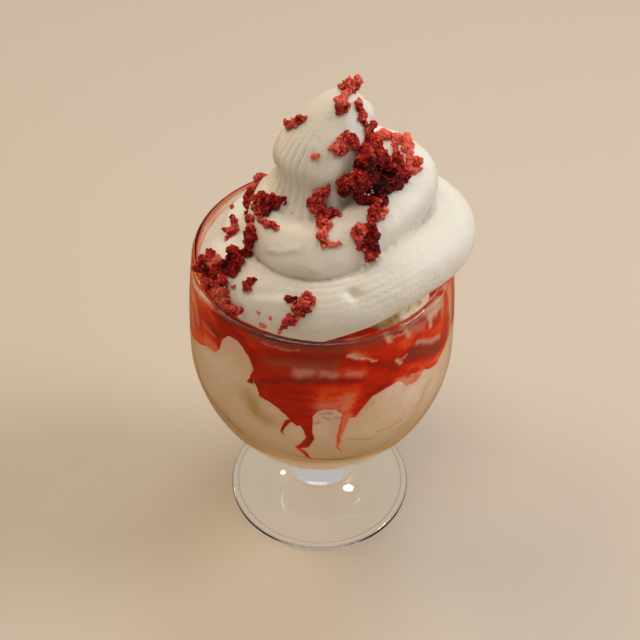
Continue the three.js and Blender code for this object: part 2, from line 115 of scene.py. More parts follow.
# Lower edge of the sauce at the glass: azimuth and height
SAUCE_EDGE = [
    (-178, 84), (-168, 85.5), (-162.6, 86.6), (-155, 89.5), (-148, 93), (-141, 94.8),
    (-138.6, 96.6), (-136.6, 102), (-133.5, 105), (-128, 105.3), (-124.8, 103.7),
    (-121.4, 101), (-119.6, 97.4), (-118.6, 92.6), (-116.7, 87.3), (-112.4, 86.2),
    (-108.3, 84.6), (-105, 82.4), (-102.8, 80), (-100, 78.2), (-96, 79.5), (-93.6, 82.4),
    (-91.6, 85.2), (-88, 86.4), (-84, 86.2), (-81.6, 84.4), (-78, 81.8), (-75.6, 81.7),
    (-72.3, 85.1), (-68.1, 88.9), (-63.8, 90), (-58, 91.2), (-55.1, 91.4), (-51, 87.6),
    (-45.7, 86.8), (-42.3, 88), (-41, 89.4), (-37.2, 87.4), (-31.3, 86.1), (-27.1, 87.5),
    (-21, 89.4), (-9.5, 91.6), (8, 88), (24, 94), (38, 97), (50, 92), (64, 84), (78, 90),
    (92, 83), (108, 88), (124, 80), (138, 94), (152, 98), (168, 90), (182, 84),
]

EDGE_ROUNDING = (-7, -3.5, 0, 3.5, 7)  # azimuths over which the edge is evened at the back

# Runs of sauce down the glass, as picture x, picture y and half width in mm along each
SAUCE_RUNS = [
    [(258, 378, 3.2), (252, 381, 1.5), (248.5, 381.5, 0.7)],
    [(288, 421, 1), (284, 426, 0.75), (281.5, 431, 0.6), (285, 436, 0.25)],
    [
        (301, 408, 3.6), (305, 420, 2.7), (308, 431, 1.5), (310, 438, 1.5), (305, 445, 1.7),
        (297, 447, 0.9), (304, 452, 1.2), (311, 459, 0.4), (318, 463, 0.12),
    ],
    [
        (352, 404, 2.6), (346, 416, 1.6), (342, 427, 1.2), (339, 438, 1), (337.5, 447, 0.8),
        (342, 452, 0.35), (351, 454.5, 0.12),
    ],
]

# Runs at the back, as azimuth, height and half width
BACK_RUNS = [
    [(64, 86, 3.4), (66, 76, 1.8), (67, 68, 1.6), (66, 64, 0.4)],
    [(124, 82, 2.6), (122, 74, 1.4), (123, 68, 0.3)],
    [(172, 86, 2.6), (174, 78, 1.2), (173, 73, 0.3)],
]

# Touches of tone on the sauce at the glass: kind, how strong, half width in mm,
# how crisp its edge is, and picture places along it. "tone" below 0 darkens
# towards maroon and above 0 brightens towards orange, "pale" is streaks of ice
# cream in the sauce and, at the right wall, painted reflection, and "haze" is
# painted haze: a brown veil for the light that the glass under the rim refracts
# and reflects.
SAUCE_TOUCHES = [
    ("tone", 0.42, 4.6, 2, [(192, 296), (192, 320), (196, 338), (212, 347)]),
    ("pale", 0.5, 1.1, 2, [(193, 296), (196, 306), (198, 322)]),
    ("pale", 0.3, 0.8, 2, [(203, 322), (213, 334)]),
    ("pale", 0.35, 0.8, 2, [(192, 304), (193.5, 330)]),
    ("tone", 0.3, 1.6, 2, [(200, 296), (208, 308), (213, 318)]),
    ("tone", 0.3, 2.2, 2, [(206, 338), (215, 346)]),
    ("tone", -0.3, 0.9, 2, [(212, 326), (218, 336)]),
    ("tone", -0.12, 2, 2, [(222, 322), (236, 333), (246, 346), (256, 362)]),
    ("tone", 0.2, 1.2, 2, [(232, 322), (243, 333), (254, 345)]),
    ("painted_haze", 0.8, 2, 2, [(252, 334), (262, 338), (280, 342)]),
    ("painted_haze", 0.6, 1.7, 2, [(280, 342), (310, 348), (345, 348), (380, 341)]),
    ("pale", 0.3, 0.3, 4, [(262, 341), (280, 348), (300, 350)]),
    ("tone", -0.12, 3.4, 2, [(275, 355), (320, 360), (352, 358)]),
    ("painted_haze", 0.6, 2, 2, [(270, 362), (300, 364), (335, 364)]),
    ("pale", 0.5, 1.7, 2, [(299, 373), (309, 373)]),
    ("pale", 0.45, 1.5, 2, [(322, 373), (335, 374)]),
    ("pale", 0.4, 1.2, 2, [(348, 374), (361, 374)]),
    ("tone", 0.25, 1.8, 2, [(340, 368), (364, 372)]),
    ("tone", -0.36, 1, 2, [(262, 380), (285, 380), (300, 379.5), (330, 380), (362, 381)]),
    ("tone", -0.2, 1.2, 2, [(250, 380), (257, 384)]),
    ("tone", -0.05, 3, 2, [(275, 392), (300, 398), (310, 412)]),
    ("tone", 0.3, 3, 2, [(325, 391), (348, 391), (356, 384)]),
    ("tone", 0.4, 3, 2, [(322, 402), (345, 402), (352, 396)]),
    ("pale", 0.3, 2.2, 2, [(322, 406), (338, 407)]),
    ("tone", 0.4, 2.2, 2, [(350, 404), (344, 420), (340, 440), (338, 449)]),
    ("pale", 0.25, 1.2, 2, [(347, 416), (341, 432), (338, 447)]),
    ("tone", 0.35, 1.2, 2, [(297, 447), (303, 452)]),
    ("tone", -0.25, 1.3, 2, [(312, 437), (309, 444)]),
    ("tone", 0.22, 3.2, 3, [(356, 349), (376, 351), (392, 347), (406, 340)]),
    ("tone", 0.26, 2.8, 3, [(404, 344), (416, 336), (430, 333), (440, 328)]),
    ("tone", 0.25, 1.2, 2, [(354, 353), (366, 354)]),
    ("pale", 1.0, 0.5, 3, [(348, 355), (355, 357.5), (365, 358.5)]),
    ("pale", 0.9, 0.3, 3, [(365, 358.5), (376, 360)]),
    ("pale", 0.55, 0.7, 2, [(354, 355), (360, 355.5)]),
    ("pale", 0.95, 0.6, 3, [(396, 360), (400, 363)]),
    ("pale", 0.6, 0.35, 3, [(400, 359.5), (406, 355)]),
    ("pale", 0.9, 1.3, 3, [(384, 333), (390, 333)]),
    ("pale", 0.9, 0.8, 3, [(388, 337), (389, 341)]),
    ("pale", 0.6, 0.5, 3, [(392, 337), (404, 332)]),
    ("pale", 0.8, 0.8, 2, [(405, 332), (409, 334)]),
    ("pale", 0.9, 2.0, 3, [(429, 311), (440, 304)]),
    ("pale", 0.9, 1.4, 3, [(429, 316), (436, 312)]),
    ("pale", 0.9, 0.7, 3, [(430, 319), (431, 326)]),
    ("pale", 0.35, 1.6, 2, [(411, 328), (423, 325)]),
    ("pale", 0.55, 1, 3, [(417, 343), (428, 341), (439, 337)]),
    ("tone", -0.34, 3.2, 3, [(413, 352), (424, 351), (436, 347)]),
    ("painted_haze", 0.22, 2.4, 3, [(414, 351), (436, 347)]),
    ("tone", -0.2, 1.4, 2, [(372, 363), (385, 363), (398, 368)]),
    ("tone", 0.1, 2.6, 2, [(372, 376), (392, 374), (404, 370)]),
    ("tone", 0.4, 2, 2, [(412, 366), (425, 362), (438, 356)]),
    ("tone", 0.5, 2.2, 3, [(401, 381), (410, 381), (420, 374)]),
    ("pale", 0.85, 0.3, 4, [(409, 376), (416, 374.5), (423, 370)]),
    ("pale", 0.4, 1.6, 2, [(403, 381), (411, 381)]),
    ("tone", -0.3, 0.8, 2, [(368, 396), (378, 390), (388, 385)]),
    # The last two are painted reflection: a pale streak down the right of the bowl, where its wall mirrors
    # light
    ("pale", 0.75, 1.7, 2, [(449, 288), (450.5, 312), (449.5, 335), (446, 356)]),
    ("pale", 0.35, 1, 2, [(443, 296), (442, 316)]),
]

# Touches on the ice cream at the glass, in the same way: "white" is a painted
# highlight where light falls on it, "gold" is melted and darker and in its
# first touch painted shade, "pink" is stained by sauce, and "line" is a thin
# brown line of syrup
ICE_TOUCHES = [
    ("painted_highlight", 0.8, 6, 2, [(396, 384), (412, 378), (408, 392)]),
    ("painted_highlight", 0.6, 4.5, 2, [(318, 424), (330, 430)]),
    ("painted_highlight", 0.5, 5, 2, [(205, 350), (216, 362)]),
    ("painted_highlight", 0.4, 4, 2, [(434, 362), (440, 350)]),
    # Painted shade: this first gold touch is the olive-brown shadow low on the left of the ice cream
    ("gold", 0.9, 3.4, 2, [(252, 402), (259, 413), (268, 420)]),
    ("gold", 0.5, 3, 2, [(246, 392), (252, 400)]),
    ("gold", 0.5, 2, 2, [(196, 360), (203, 385), (220, 410), (240, 430)]),
    ("pink", 0.5, 3, 2, [(222, 338), (232, 345), (240, 352)]),
    ("pink", 0.6, 1.2, 2, [(232, 349), (238, 352)]),
    ("pink", 0.5, 1.8, 2, [(243, 357), (250, 368)]),
    ("pink", 0.35, 3, 2, [(268, 415), (280, 422)]),
    ("pink", 0.5, 3.2, 2, [(318, 418), (328, 424), (330, 436)]),
    ("pink", 0.35, 5, 2, [(395, 400), (405, 412)]),
    ("gold", 0.3, 1.6, 2, [(429, 380), (424, 396), (416, 411), (404, 426)]),
    ("gold", 0.25, 1.2, 2, [(440, 372), (436, 392), (427, 408)]),
    ("gold", 0.5, 2.2, 2, [(360, 412), (368, 404)]),
    ("line", 0.7, 0.5, 2, [(320, 415), (331, 413)]),
    ("line", 0.6, 0.45, 2, [(314, 424), (320, 421)]),
    ("line", 0.6, 0.45, 2, [(334, 417), (343, 417)]),
    ("line", 0.6, 0.4, 2, [(323, 418), (330, 419)]),
    ("line", 0.5, 0.35, 2, [(346, 439), (360, 440), (374, 437.5)]),
    ("line", 0.4, 0.35, 2, [(376, 432), (394, 424), (404, 417)]),
    ("line", 0.45, 0.4, 2, [(425, 385), (421, 398), (416, 406)]),
]
MELTED_TOUCHES = [
    ("line", 0.9, 0.3, 2, [(226, 412), (240, 421), (252, 430), (264, 439), (272, 446)]),
    ("line", 0.7, 0.3, 2, [(229, 425), (238, 433), (247, 439), (255, 443)]),
    ("line", 0.6, 0.3, 2, [(262, 428), (274, 436), (281, 446)]),
    ("line", 0.5, 0.25, 2, [(330, 445), (348, 449), (366, 446)]),
    ("gold", 0.5, 3, 2, [(262, 452), (300, 466)]),
    ("pink", 0.4, 3, 2, [(318, 448), (336, 452)]),
]

# The scoop that shows inside the rim at the front right
SCOOP = {"x": 18, "y": -13.6, "z": 103.4, "radius": 16.4, "height": 8.8}

# Patches on that scoop: kind, picture x, picture y and half width in mm
SCOOP_PATCHES = [
    ("gold", 377, 329, 1.5), ("gold", 384, 326, 1.4), ("gold", 391, 322, 1.8), ("gold", 396, 317, 1.3),
    ("gold", 400, 323, 1.0), ("gold", 388, 325, 1.2), ("gold", 420, 303, 0.8),
    ("line", 411.5, 316, 0.45), ("line", 408, 310.5, 0.3), ("line", 409, 307.6, 0.3),
    ("line", 398, 321, 0.3), ("line", 415, 312, 0.2), ("pink", 374, 331, 1.1), ("pink", 404, 325, 0.7),
]

# The piped rope of cream, an eighth of a turn further round in each row:
# distance from the axis, height, half width and half height
ROPE_START = -270
ROPE_STEP = 45
ROPE = [
    (24, 107.5, 10.6, 8.5), (26.6, 111, 11, 9.5), (26.5, 113.5, 11.4, 9.5),
    (28, 117, 11, 10.5), (30.3, 120.8, 11.6, 11), (31.5, 126, 11.5, 11.2),
    (34, 124, 12, 10.5), (27.5, 120.5, 12, 10.5), (24.5, 119.4, 12, 10.2),
    (15.5, 125, 10.5, 9.5), (11.5, 133, 9.5, 9.5), (18, 131.8, 10.2, 9.8),
    (22.6, 132.6, 10.4, 10), (20.6, 140.8, 10.5, 8.8), (22.8, 142, 10.6, 9.2),
    (18, 140.5, 10.5, 9), (13, 141, 10, 9), (10.5, 143, 9.5, 8.5), (5, 146.4, 7.8, 7.5),
]

# The upright end of the rope: x, y, height and radius
COLUMN = [
    (0, -2, 134, 19.5), (0, -3, 140, 17.5), (0, -3, 144.5, 14.4), (0, -3, 149, 13),
    (0, -2, 155, 13.4), (1.6, -1, 161, 11.6), (3.8, 0, 166, 8.6), (5.2, 0, 169.6, 5.6),
    (5.8, 0, 171.8, 2.8),
]
COLUMN_TIP = (6.1, 0, 173)
CURL = {"centre": (9, 2, 162.5), "radius": 5.4}
MOUND = {"x": 4, "y": -1, "bottom": 96, "top": 148, "bottom_radius": 27, "top_radius": 9}
CREAM_VOXEL = 0.58
CREAM_COLOURS = ((0.77, 0.725, 0.63), (0.83, 0.79, 0.705))
RIDGES = {"count": 34, "depth": 0.14, "fade": 0.6, "fade_from": 9, "fade_to": 11}  # in rows
COLUMN_RIDGES = {"count": 34, "depth": 0.58, "middle": -131, "spread": 24, "elsewhere": 0.06}
ROPE_TAPER = {"start": 0.75, "end": 0.08, "least": 0.02, "power": 0.4}  # lengths in rows
CREASE = {"gain": 11, "most": 0.7}  # deepens the folds between the turns, in mm

# Marks on the cream: picture places of its two ends, half width in mm, and how
# far it stands out in mm, below 0 where it is pressed in
CREAM_MARKS = [
    ((351, 294), (354, 296), 1.7, -1.5),
    ((349, 300), (357, 299), 1.2, 0.4),
    ((270, 251), (280, 251.5), 0.9, 0.4),
    ((285, 251.5), (297, 249), 0.9, 0.4),
    ((268, 256), (298, 255), 1.5, -0.35),
    ((389, 191), (403, 189), 0.45, -0.45),
    ((440, 192), (447, 204), 2, -0.7),
    ((311, 268), (318, 271), 1.2, 0.3),
    ((352, 276), (362, 272), 1.6, -0.7),
    ((292, 232), (312, 236), 2.2, 0.4),
    ((243, 293), (300, 297), 1.5, -0.4),
    ((255, 299), (300, 304), 1.6, 0.35),
    ((430, 283), (445, 277), 0.4, -0.3),
    ((432, 287), (441, 283), 0.4, -0.3),
]
# At the back left the cream lies low against the wall. At the front right it
# hangs higher, and leaves the rim free.
LOW_EDGE = {"middle": 152, "spread": 36, "height": 109.6, "slope": 1.4}
RIM_GAP = {"from": -88, "to": -8, "lift": 2.8, "low": 115, "high": 129}

# Clumps of cake crumb, as strokes over the picture, whose side is PICTURE pixels.
# Each stroke: how dry and so how pale it is, then picture x, picture y and half
# width in mm along it. Every lump rests on the cream where its pixel meets it.
CLUMPS = {
    "crumbs_tip": [
        (0.5, [(321, 88.5, 0.6), (327, 86, 0.8), (333, 88.5, 0.8)]),
        (0.75, [(341, 88, 1.1), (346, 84, 1.7), (354, 82.5, 1.7), (360, 80, 0.8)]),
        (0.7, [(351, 89, 1.4), (347, 91, 1.1)]),
        (0.9, [(342, 96, 1.9), (340, 103, 1.8)]),
        (0.6, [(346, 109, 1.2), (338, 110, 1.2)]),
    ],
    "crumbs_tip_front": [
        (0.35, [(348, 135, 1.9), (353, 142, 1.6), (355, 148, 1)]),
        (0.75, [(344, 141, 1.9), (338, 148, 1.6), (332, 149, 0.8)]),
        (0.6, [(346, 149, 1.4), (341, 153, 1)]),
    ],
    "crumbs_heap": [
        (0.5, [(370, 127, 2), (371, 136, 2.6), (375, 143, 2.6)]),
        (0.35, [(369, 149, 2.9), (363, 163, 3.9), (359, 173, 3.9)]),
        (0.25, [(376, 155, 3.1), (381, 166, 4.9), (377, 180, 5.2)]),
        (0.25, [(361, 182, 4.2), (350, 184, 3), (343, 184.5, 2.2), (337.5, 184.5, 1)]),
        (0.35, [(390, 166, 3.4), (396, 172, 3.5), (405, 179.5, 1.7)]),
        (0.2, [(366, 192, 3.1), (374, 196, 3.1), (383, 190, 3.2), (394, 184, 2.5)]),
        (0.85, [(377, 138, 2.1), (386, 133, 1.7), (394, 136, 1.4)]),
        (0.6, [(394, 141, 0.8), (395, 150, 0.8), (397, 160, 1.1)]),
        (0.95, [(397, 137, 1.4), (405, 140, 1.8), (410, 149, 1.5), (410, 156, 1.3)]),
        (0.7, [(409, 155, 1.6), (413, 160, 2.2), (419, 163, 1.6)]),
        (0.9, [(406, 168, 1.3), (412, 170, 1.3), (419, 169, 1)]),
    ],
    "crumbs_front": [
        (0.55, [(327.5, 188, 0.8), (324, 195, 1.8), (315, 201, 2.2), (307, 207, 0.8)]),
        (0.5, [(320, 207, 2.5), (331, 212, 1.8), (339, 214.5, 0.8)]),
        (0.6, [(320, 218, 2.2), (325, 228, 1.9), (322, 238, 1.7), (325, 246, 0.9)]),
        (0.85, [(330, 243, 0.9), (337, 244, 0.9)]),
    ],
    "crumbs_front_right": [
        (0.4, [(377, 203, 2), (377, 210, 2.6), (369, 217, 2.2)]),
        (0.85, [(385, 212, 1.3), (382, 218, 1.1)]),
        (0.5, [(362, 228, 2.3), (357, 238, 1.9), (362, 245, 1.7)]),
        (0.2, [(370, 226, 2.2), (373, 238, 2.4), (373, 246, 1.6)]),
        (0.5, [(378, 250, 0.8), (371, 252, 1.4), (368, 260, 1.2), (374, 259, 0.7)]),
    ],
    "crumbs_left": [
        (0.4, [(264, 169, 1.5), (262, 176, 1.8), (257, 184, 2.2), (252, 193, 2.2), (249, 203, 1.8)]),
        (0.5, [(257, 201, 2.3), (262, 208, 2.6), (258, 214, 1.1)]),
        (0.15, [(266, 212, 1.6), (270, 203, 2), (278, 199, 2), (285, 198, 0.9)]),
    ],
    "crumbs_rim": [
        (0.4, [(247, 213, 1), (249, 221, 1.6), (251, 234, 2), (250, 246, 2.2), (252, 253, 1.6)]),
        (0.3, [(245, 254, 1.8), (236, 255, 2.1), (228, 257, 2.1), (239, 262, 1.8)]),
        (1.0, [(218, 259, 1.4), (215, 265, 1.2)]),
        (0.45, [(209, 257, 2.3), (202, 262, 1.8), (196, 267.5, 1.6)]),
        (0.15, [(203, 271, 1.6), (213, 270, 2.1), (224, 269, 2.6), (234, 269, 1.7)]),
        (0.35, [(207, 279, 1.8), (216, 281, 2.6), (226, 281, 2.2)]),
        (0.6, [(211, 291, 2), (219, 293, 2.6), (226, 291, 1.4)]),
        (0.75, [(213, 301, 1.3), (222, 302, 2.1), (229, 303, 1.3)]),
        (0.2, [(217, 310, 1.8), (219, 316, 1)]),
        (0.55, [(225, 308, 2.1), (234, 309, 2.1), (241, 310, 1.2)]),
    ],
    "crumbs_front_low": [
        (0.2, [(289.5, 299, 1.1), (295, 298, 0.9)]),
        (0.45, [(303, 299, 1.5), (309, 297.5, 1.5), (314, 303, 1)]),
        (0.55, [(306, 304, 1.8), (296, 308, 1.4)]),
        (0.3, [(308, 310, 1.4), (303, 315, 0.9)]),
        (0.5, [(298, 317, 1.2), (291, 319, 1.5), (285, 325, 1.1), (279.5, 333, 0.4)]),
    ],
}

# Loose crumbs on the cream, as strokes like those above
LOOSE_CRUMBS = [
    (0.5, [(360, 99, 0.5), (359, 106, 1.3), (363, 113, 1.2), (362, 120, 1), (366, 124, 0.8)]),
    (0.55, [(289, 128, 0.9), (291, 123, 1.5), (299, 121, 1.3), (306, 118, 0.6)]),
    (0.95, [(314, 157.5, 0.8), (319, 155, 0.5)]),
    (0.5, [(259, 220, 0.9), (266, 223, 1), (276, 227, 1.1)]),
    (0.6, [(232, 216, 1.2), (235, 222, 1.3)]),
    (0.55, [(225, 229, 0.9), (232, 231, 1.4), (237, 228, 0.9), (227, 238, 0.7)]),
    (0.35, [(244, 286, 1.2), (249, 282, 1.4), (254, 279, 0.8)]),
    (0.3, [(234, 287.5, 0.5)]),
    (1.1, [(258.5, 313, 0.5)]),
    (1.1, [(270, 319, 0.5)]),
    (0.8, [(261, 325, 0.6), (266, 327, 0.4)]),
    (0.9, [(236, 317, 0.5)]),
]

# Crumbs that the picture doesn't show, dropped on the cream: x, y and half width
BACK_CRUMBS = [
    (5, 13, 1.5), (3, 20, 2.4), (-2, 19, 2), (8, 23, 1.6), (-20, 24, 1.6), (18, 26, 2.1),
    (22, 21, 1.7), (33, 13, 1.3), (-7, 30, 1.1), (12, 33, 0.8), (-28, 10, 0.9),
]
CRUMB_RISE = 0.5
CRUMB_VOXEL = 0.3
GRAINS = {"density": 3.2, "smallest": 0.12, "largest": 0.46}
WET_SPOT = {"x": 376, "y": 176, "radius": 4.6, "depth": 0.4}
SUGAR = {"count": 26, "x": 367, "y": 187, "across": 7.5, "down": 8, "size": 0.2}

# Colours of the crumb, from wet and dark to dry and pale. The tone that picks them also holds
# painted shade in pits and pores and painted highlights on tips
CRUMB_RAMP = (
    (0.0, (0.018, 0.001, 0.001)),
    (0.28, (0.18, 0.006, 0.005)),
    (0.6, (0.46, 0.022, 0.014)),
    (1.0, (0.78, 0.17, 0.11)),
)

# Camera: focal length in widths of the picture, pitch and roll in degrees,
# and where it stands
PICTURE = 640
PICTURE_SCALE = 3.45  # pixels for each mm at the cream
CAMERA = {"focal": 2.075, "pitch": 45.1, "roll": 0.65, "at": (-0.52, -302.7, 386.85)}
EYE = np.array(CAMERA["at"])
STROKE_JUMP = 9  # mm of depth past which a stroke has left the surface
CHUNKS = 3  # to each lump

# Stage
BACKDROP = (0.578, 0.468, 0.352)
FLOOR_COLOUR = (0.60, 0.52, 0.43)
FLOOR_MIRRORED = (0.30, 0.14, 0.06)  # as it shows by reflection
FLOOR_GAP = 0.1  # so that light leaves the glass before it meets the floor
FAR_FLOOR = (180, 700)  # where the floor passes into one even tone, in mm
THROUGH_GLASS = 0.75  # share of that tone where the floor is seen through glass
WORLD = {
    "lighting": (0.145, 0.138, 0.132),
    "reflected": (0.07, 0.067, 0.064),
    "overhead": (0.50, 0.48, 0.47),
}
OVERHEAD = (0.1, 0.6)  # how steep a ray is where the backdrop passes into overhead
LIGHT_AIM = (0, 0, 120)
GLINT_DISTANCE = 1000

# Soft lights, which show in no reflection: azimuth and height in degrees,
# distance and width in mm, watts and colour. The last stands for light that is
# thrown back up from below.
SOFT_LIGHTS = {
    "main": (4, 37, 1000, 440, 5.2, (0.98, 0.95, 0.94)),
    "back_right": (60, 62, 1000, 420, 2.1, (0.74, 0.86, 1.0)),
    "right": (80, 35, 1000, 420, 1.3, (0.95, 1.0, 0.9)),
    "back_left": (130, 35, 1000, 420, 1.7, (1.0, 0.6, 0.35)),
    "left": (170, 58, 1000, 420, 2.5, (1.0, 0.82, 0.60)),
    "front": (262, 76, 1000, 420, 2.8, (1.0, 0.90, 0.74)),
    "below": (270, -34, 200, 240, 0.06, (1.0, 0.86, 0.62)),
}

# Small lamps that give highlights and throw no soft light: azimuth, height,
# width, length, watts and colour
GLINTS = {
    "glint_right": (-12, 24, 380, 220, 6, (0.95, 0.97, 1.0)),
    "glint_warm": (157, 4, 200, 160, 1.6, (1.0, 0.72, 0.4)),
    "glint_front": (262, 4, 1500, 170, 4, (1.0, 0.95, 0.94)),
    "glint_left": (180, 48, 40, 500, 0.25, (1.0, 0.9, 0.7)),
}


# Number helpers

def smoothstep(value, low, high):
    t = np.clip((value - low) / (high - low), 0, 1)
    return t * t * (3 - 2 * t)


def lattice(x, y, z, seed):
    """A fixed random number from -1 to 1 for each whole-number point."""
    h = x * 374761393 + y * 668265263 + z * 1440662683 + seed * 974711
    h = (h ^ (h >> 13)) * 1274126177
    h = (h ^ (h >> 16)) & 0xFFFFFF
    return h / 0x7FFFFF - 1


def noise(points, size, seed=0, octaves=2):
    """Smooth noise from about -1 to 1, with lumps of that size in mm."""
    total = np.zeros(len(points))
    weight = 1.0
    for octave in range(octaves):
        scaled = points / size * 2 ** octave
        low = np.floor(scaled).astype(np.int64)
        t = scaled - low
        t = t * t * (3 - 2 * t)
        value = np.zeros(len(points))
        for corner in range(8):
            step = np.array([corner & 1, corner >> 1 & 1, corner >> 2 & 1])
            share = np.prod(np.where(step, t, 1 - t), axis=1)
            at = low + step
            value += share * lattice(at[:, 0], at[:, 1], at[:, 2], seed + octave)
        total += weight * value
        weight *= 0.5
    return total / (2 - 2 * weight)


def smooth_table(rows, places):
    """Smooth values between the rows of a table, at places counted in rows."""
    rows = np.asarray(rows, float)
    last = len(rows) - 1
    start = np.clip(np.floor(places).astype(int), 0, last - 1)
    t = (places - start)[:, None]
    before, a, b, after = (rows[np.clip(start + k, 0, last)] for k in (-1, 0, 1, 2))
    slope = (b - before) / 2
    slope_end = (after - a) / 2
    return (a + slope * t + (3 * (b - a) - 2 * slope - slope_end) * t ** 2
            + (2 * (a - b) + slope + slope_end) * t ** 3)


def polar(radius, angle, z):
    return np.stack(np.broadcast_arrays(radius * np.cos(angle), radius * np.sin(angle), z), axis=-1)


def round_angles(sides):
    return np.arange(sides) * 2 * math.pi / sides


def camera_axes():
    """The camera's right, up and back."""
    pitch = math.radians(CAMERA["pitch"])
    roll = math.radians(CAMERA["roll"])
    back = np.array([0, -math.cos(pitch), math.sin(pitch)])
    level_up = np.array([0, math.sin(pitch), math.cos(pitch)])
    level_right = np.array([1.0, 0, 0])
    right = math.cos(roll) * level_right + math.sin(roll) * level_up
    up = math.cos(roll) * level_up - math.sin(roll) * level_right
    return right, up, back


def picture_ray(x, y):
    """The direction from the camera to a place in the picture."""
    right, up, back = camera_axes()
    focal = CAMERA["focal"] * PICTURE
    ray = (x - PICTURE / 2) / focal * right - (y - PICTURE / 2) / focal * up - back
    return ray / np.linalg.norm(ray)


# Mesh helpers

def ring_faces(rows):
    """Faces between rows of points: equal rings, or single points that close the surface."""
    faces = []
    start = 0
    for low, high in zip(rows[:-1], rows[1:]):
        above = start + len(low)
        sides = max(len(low), len(high))
        for j in range(sides):
            k = (j + 1) % sides
            if len(low) == 1:
                faces.append((start, above + k, above + j))
            elif len(high) == 1:
                faces.append((start + j, start + k, above))
            else:
                faces.append((start + j, start + k, above + k, above + j))
        start = above
    return faces


def ringed(rows):
    """Points and faces of a closed surface from rows of points, bottom to top."""
    return np.concatenate(rows), ring_faces(rows)


def joined(parts):
    """Several (points, faces) as one."""
    points = []
    faces = []
    count = 0
    for part_points, part_faces in parts:
        points.append(part_points)
        faces.extend(tuple(corner + count for corner in face) for face in part_faces)
        count += len(part_points)
    return np.concatenate(points), faces


def make_object(name, points, faces):
    mesh = bpy.data.meshes.new(name)
    mesh.from_pydata((np.asarray(points) * MM).tolist(), [], faces)
    mesh.polygons.foreach_set("use_smooth", [True] * len(mesh.polygons))
    piece = bpy.data.objects.new(name, mesh)
    bpy.context.scene.collection.objects.link(piece)
    return piece


def mesh_points(mesh):
    points = np.zeros(len(mesh.vertices) * 3)
    mesh.vertices.foreach_get("co", points)
    return points.reshape(-1, 3) / MM


def mesh_normals(mesh):
    normals = np.zeros(len(mesh.vertices) * 3)
    mesh.vertices.foreach_get("normal", normals)
    return normals.reshape(-1, 3)


def move_points(mesh, points):
    mesh.vertices.foreach_set("co", (points * MM).ravel())
    mesh.update()


def set_values(piece, name, values):
    """Keeps one number for each point of the piece, for its material to read."""
    attribute = piece.data.attributes.new(name, "FLOAT", "POINT")
    attribute.data.foreach_set("value", np.asarray(values, np.float32))


def with_modifiers(piece, name):
    """The piece as a plain mesh in a new object, with its modifiers made real."""
    mesh = bpy.data.meshes.new_from_object(piece.evaluated_get(bpy.context.evaluated_depsgraph_get()))
    bpy.data.objects.remove(piece)
    mesh.name = name
    result = bpy.data.objects.new(name, mesh)
    bpy.context.scene.collection.objects.link(result)
    return result


def fused(name, points, faces, voxel, smoothing):
    """One closed piece from overlapping closed surfaces, evened out a little."""
    piece = make_object(name + "_parts", points, faces)
    remesh = piece.modifiers.new("fuse", "REMESH")
    remesh.mode = "VOXEL"
    remesh.voxel_size = voxel * MM
    remesh.use_smooth_shade = True
    if smoothing:
        smooth = piece.modifiers.new("even", "SMOOTH")
        smooth.factor = 0.5
        smooth.iterations = smoothing
    result = with_modifiers(piece, name)
    result.data.polygons.foreach_set("use_smooth", [True] * len(result.data.polygons))
    return result


def seen_on(surface, x, y, rise):
    """Where the picture shows that place on a surface, raised by so many mm."""
    ray = picture_ray(x, y)
    place, normal, _, distance = surface.ray_cast(Vector(EYE * MM), Vector(ray))
    if place is None:
        return None, ray
    return distance / MM - rise / max(0.4, -normal.dot(Vector(ray))), ray


def surface_of(piece):
    return BVHTree.FromObject(piece, bpy.context.evaluated_depsgraph_get())


def hollowness(mesh, points, normals):
    """How far each point stands out from its neighbours, in mm, below 0 in a pit."""
    edges = np.zeros(len(mesh.edges) * 2, int)
    mesh.edges.foreach_get("vertices", edges)
    first, second = edges.reshape(-1, 2).T
    total = np.zeros_like(points)
    count = np.zeros(len(points))
    for a, b in ((first, second), (second, first)):
        np.add.at(total, a, points[b])
        np.add.at(count, a, 1)
    return np.einsum("ij,ij->i", points - total / count[:, None], normals)


def finish_piece(piece, material, slot, *nodes):
    """Gives a piece its material, puts it under the root body and hides the CAD nodes
    that it stands for. The slot argument is not used.
    """
    piece.data.materials.clear()
    piece.data.materials.append(material)
    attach(piece, "root")
    if nodes:
        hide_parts(*nodes)


# Material helpers

def new_material(name):
    """A node material with its Principled shader and Object coordinates."""
    material = bpy.data.materials.new(name)
    material.use_nodes = True
    nodes = material.node_tree.nodes
    shader = nodes["Principled BSDF"]
    place = nodes.new("ShaderNodeTexCoord").outputs["Object"]
    return material, shader, place


def node(tree, kind, inputs=(), **settings):
    """A shader node with its settings, and inputs by name or number."""
    made = tree.nodes.new(kind)
    for key, value in settings.items():
        setattr(made, key, value)
    for key, value in dict(inputs).items():
        if isinstance(value, bpy.types.NodeSocket):
            tree.links.new(value, made.inputs[key])
        else:
            made.inputs[key].default_value = value
    return made


def noise_mask(tree, place, size, detail, low, high):
    """Noise with lumps of that size in mm, as a value that rises from 0 to 1 between low and high."""
    made = node(tree, "ShaderNodeTexNoise", {"Vector": place, "Scale": 1 / (size * MM), "Detail": detail})
    return ranged(tree, made.outputs["Fac"], low, high)


def stored(tree, name):
    return node(tree, "ShaderNodeAttribute", attribute_name=name).outputs["Fac"]


def mix_colour(tree, share, first, second):
    made = node(tree, "ShaderNodeMix", data_type="RGBA", clamp_factor=True)
    for key, value in {0: share, 6: first, 7: second}.items():
        if isinstance(value, bpy.types.NodeSocket):
            tree.links.new(value, made.inputs[key])
        elif key == 0:
            made.inputs[key].default_value = value
        else:
            made.inputs[key].default_value = (*value, 1)
    return made.outputs[2]


def maths(tree, operation, *values):
    return node(tree, "ShaderNodeMath", dict(enumerate(values)), operation=operation).outputs[0]


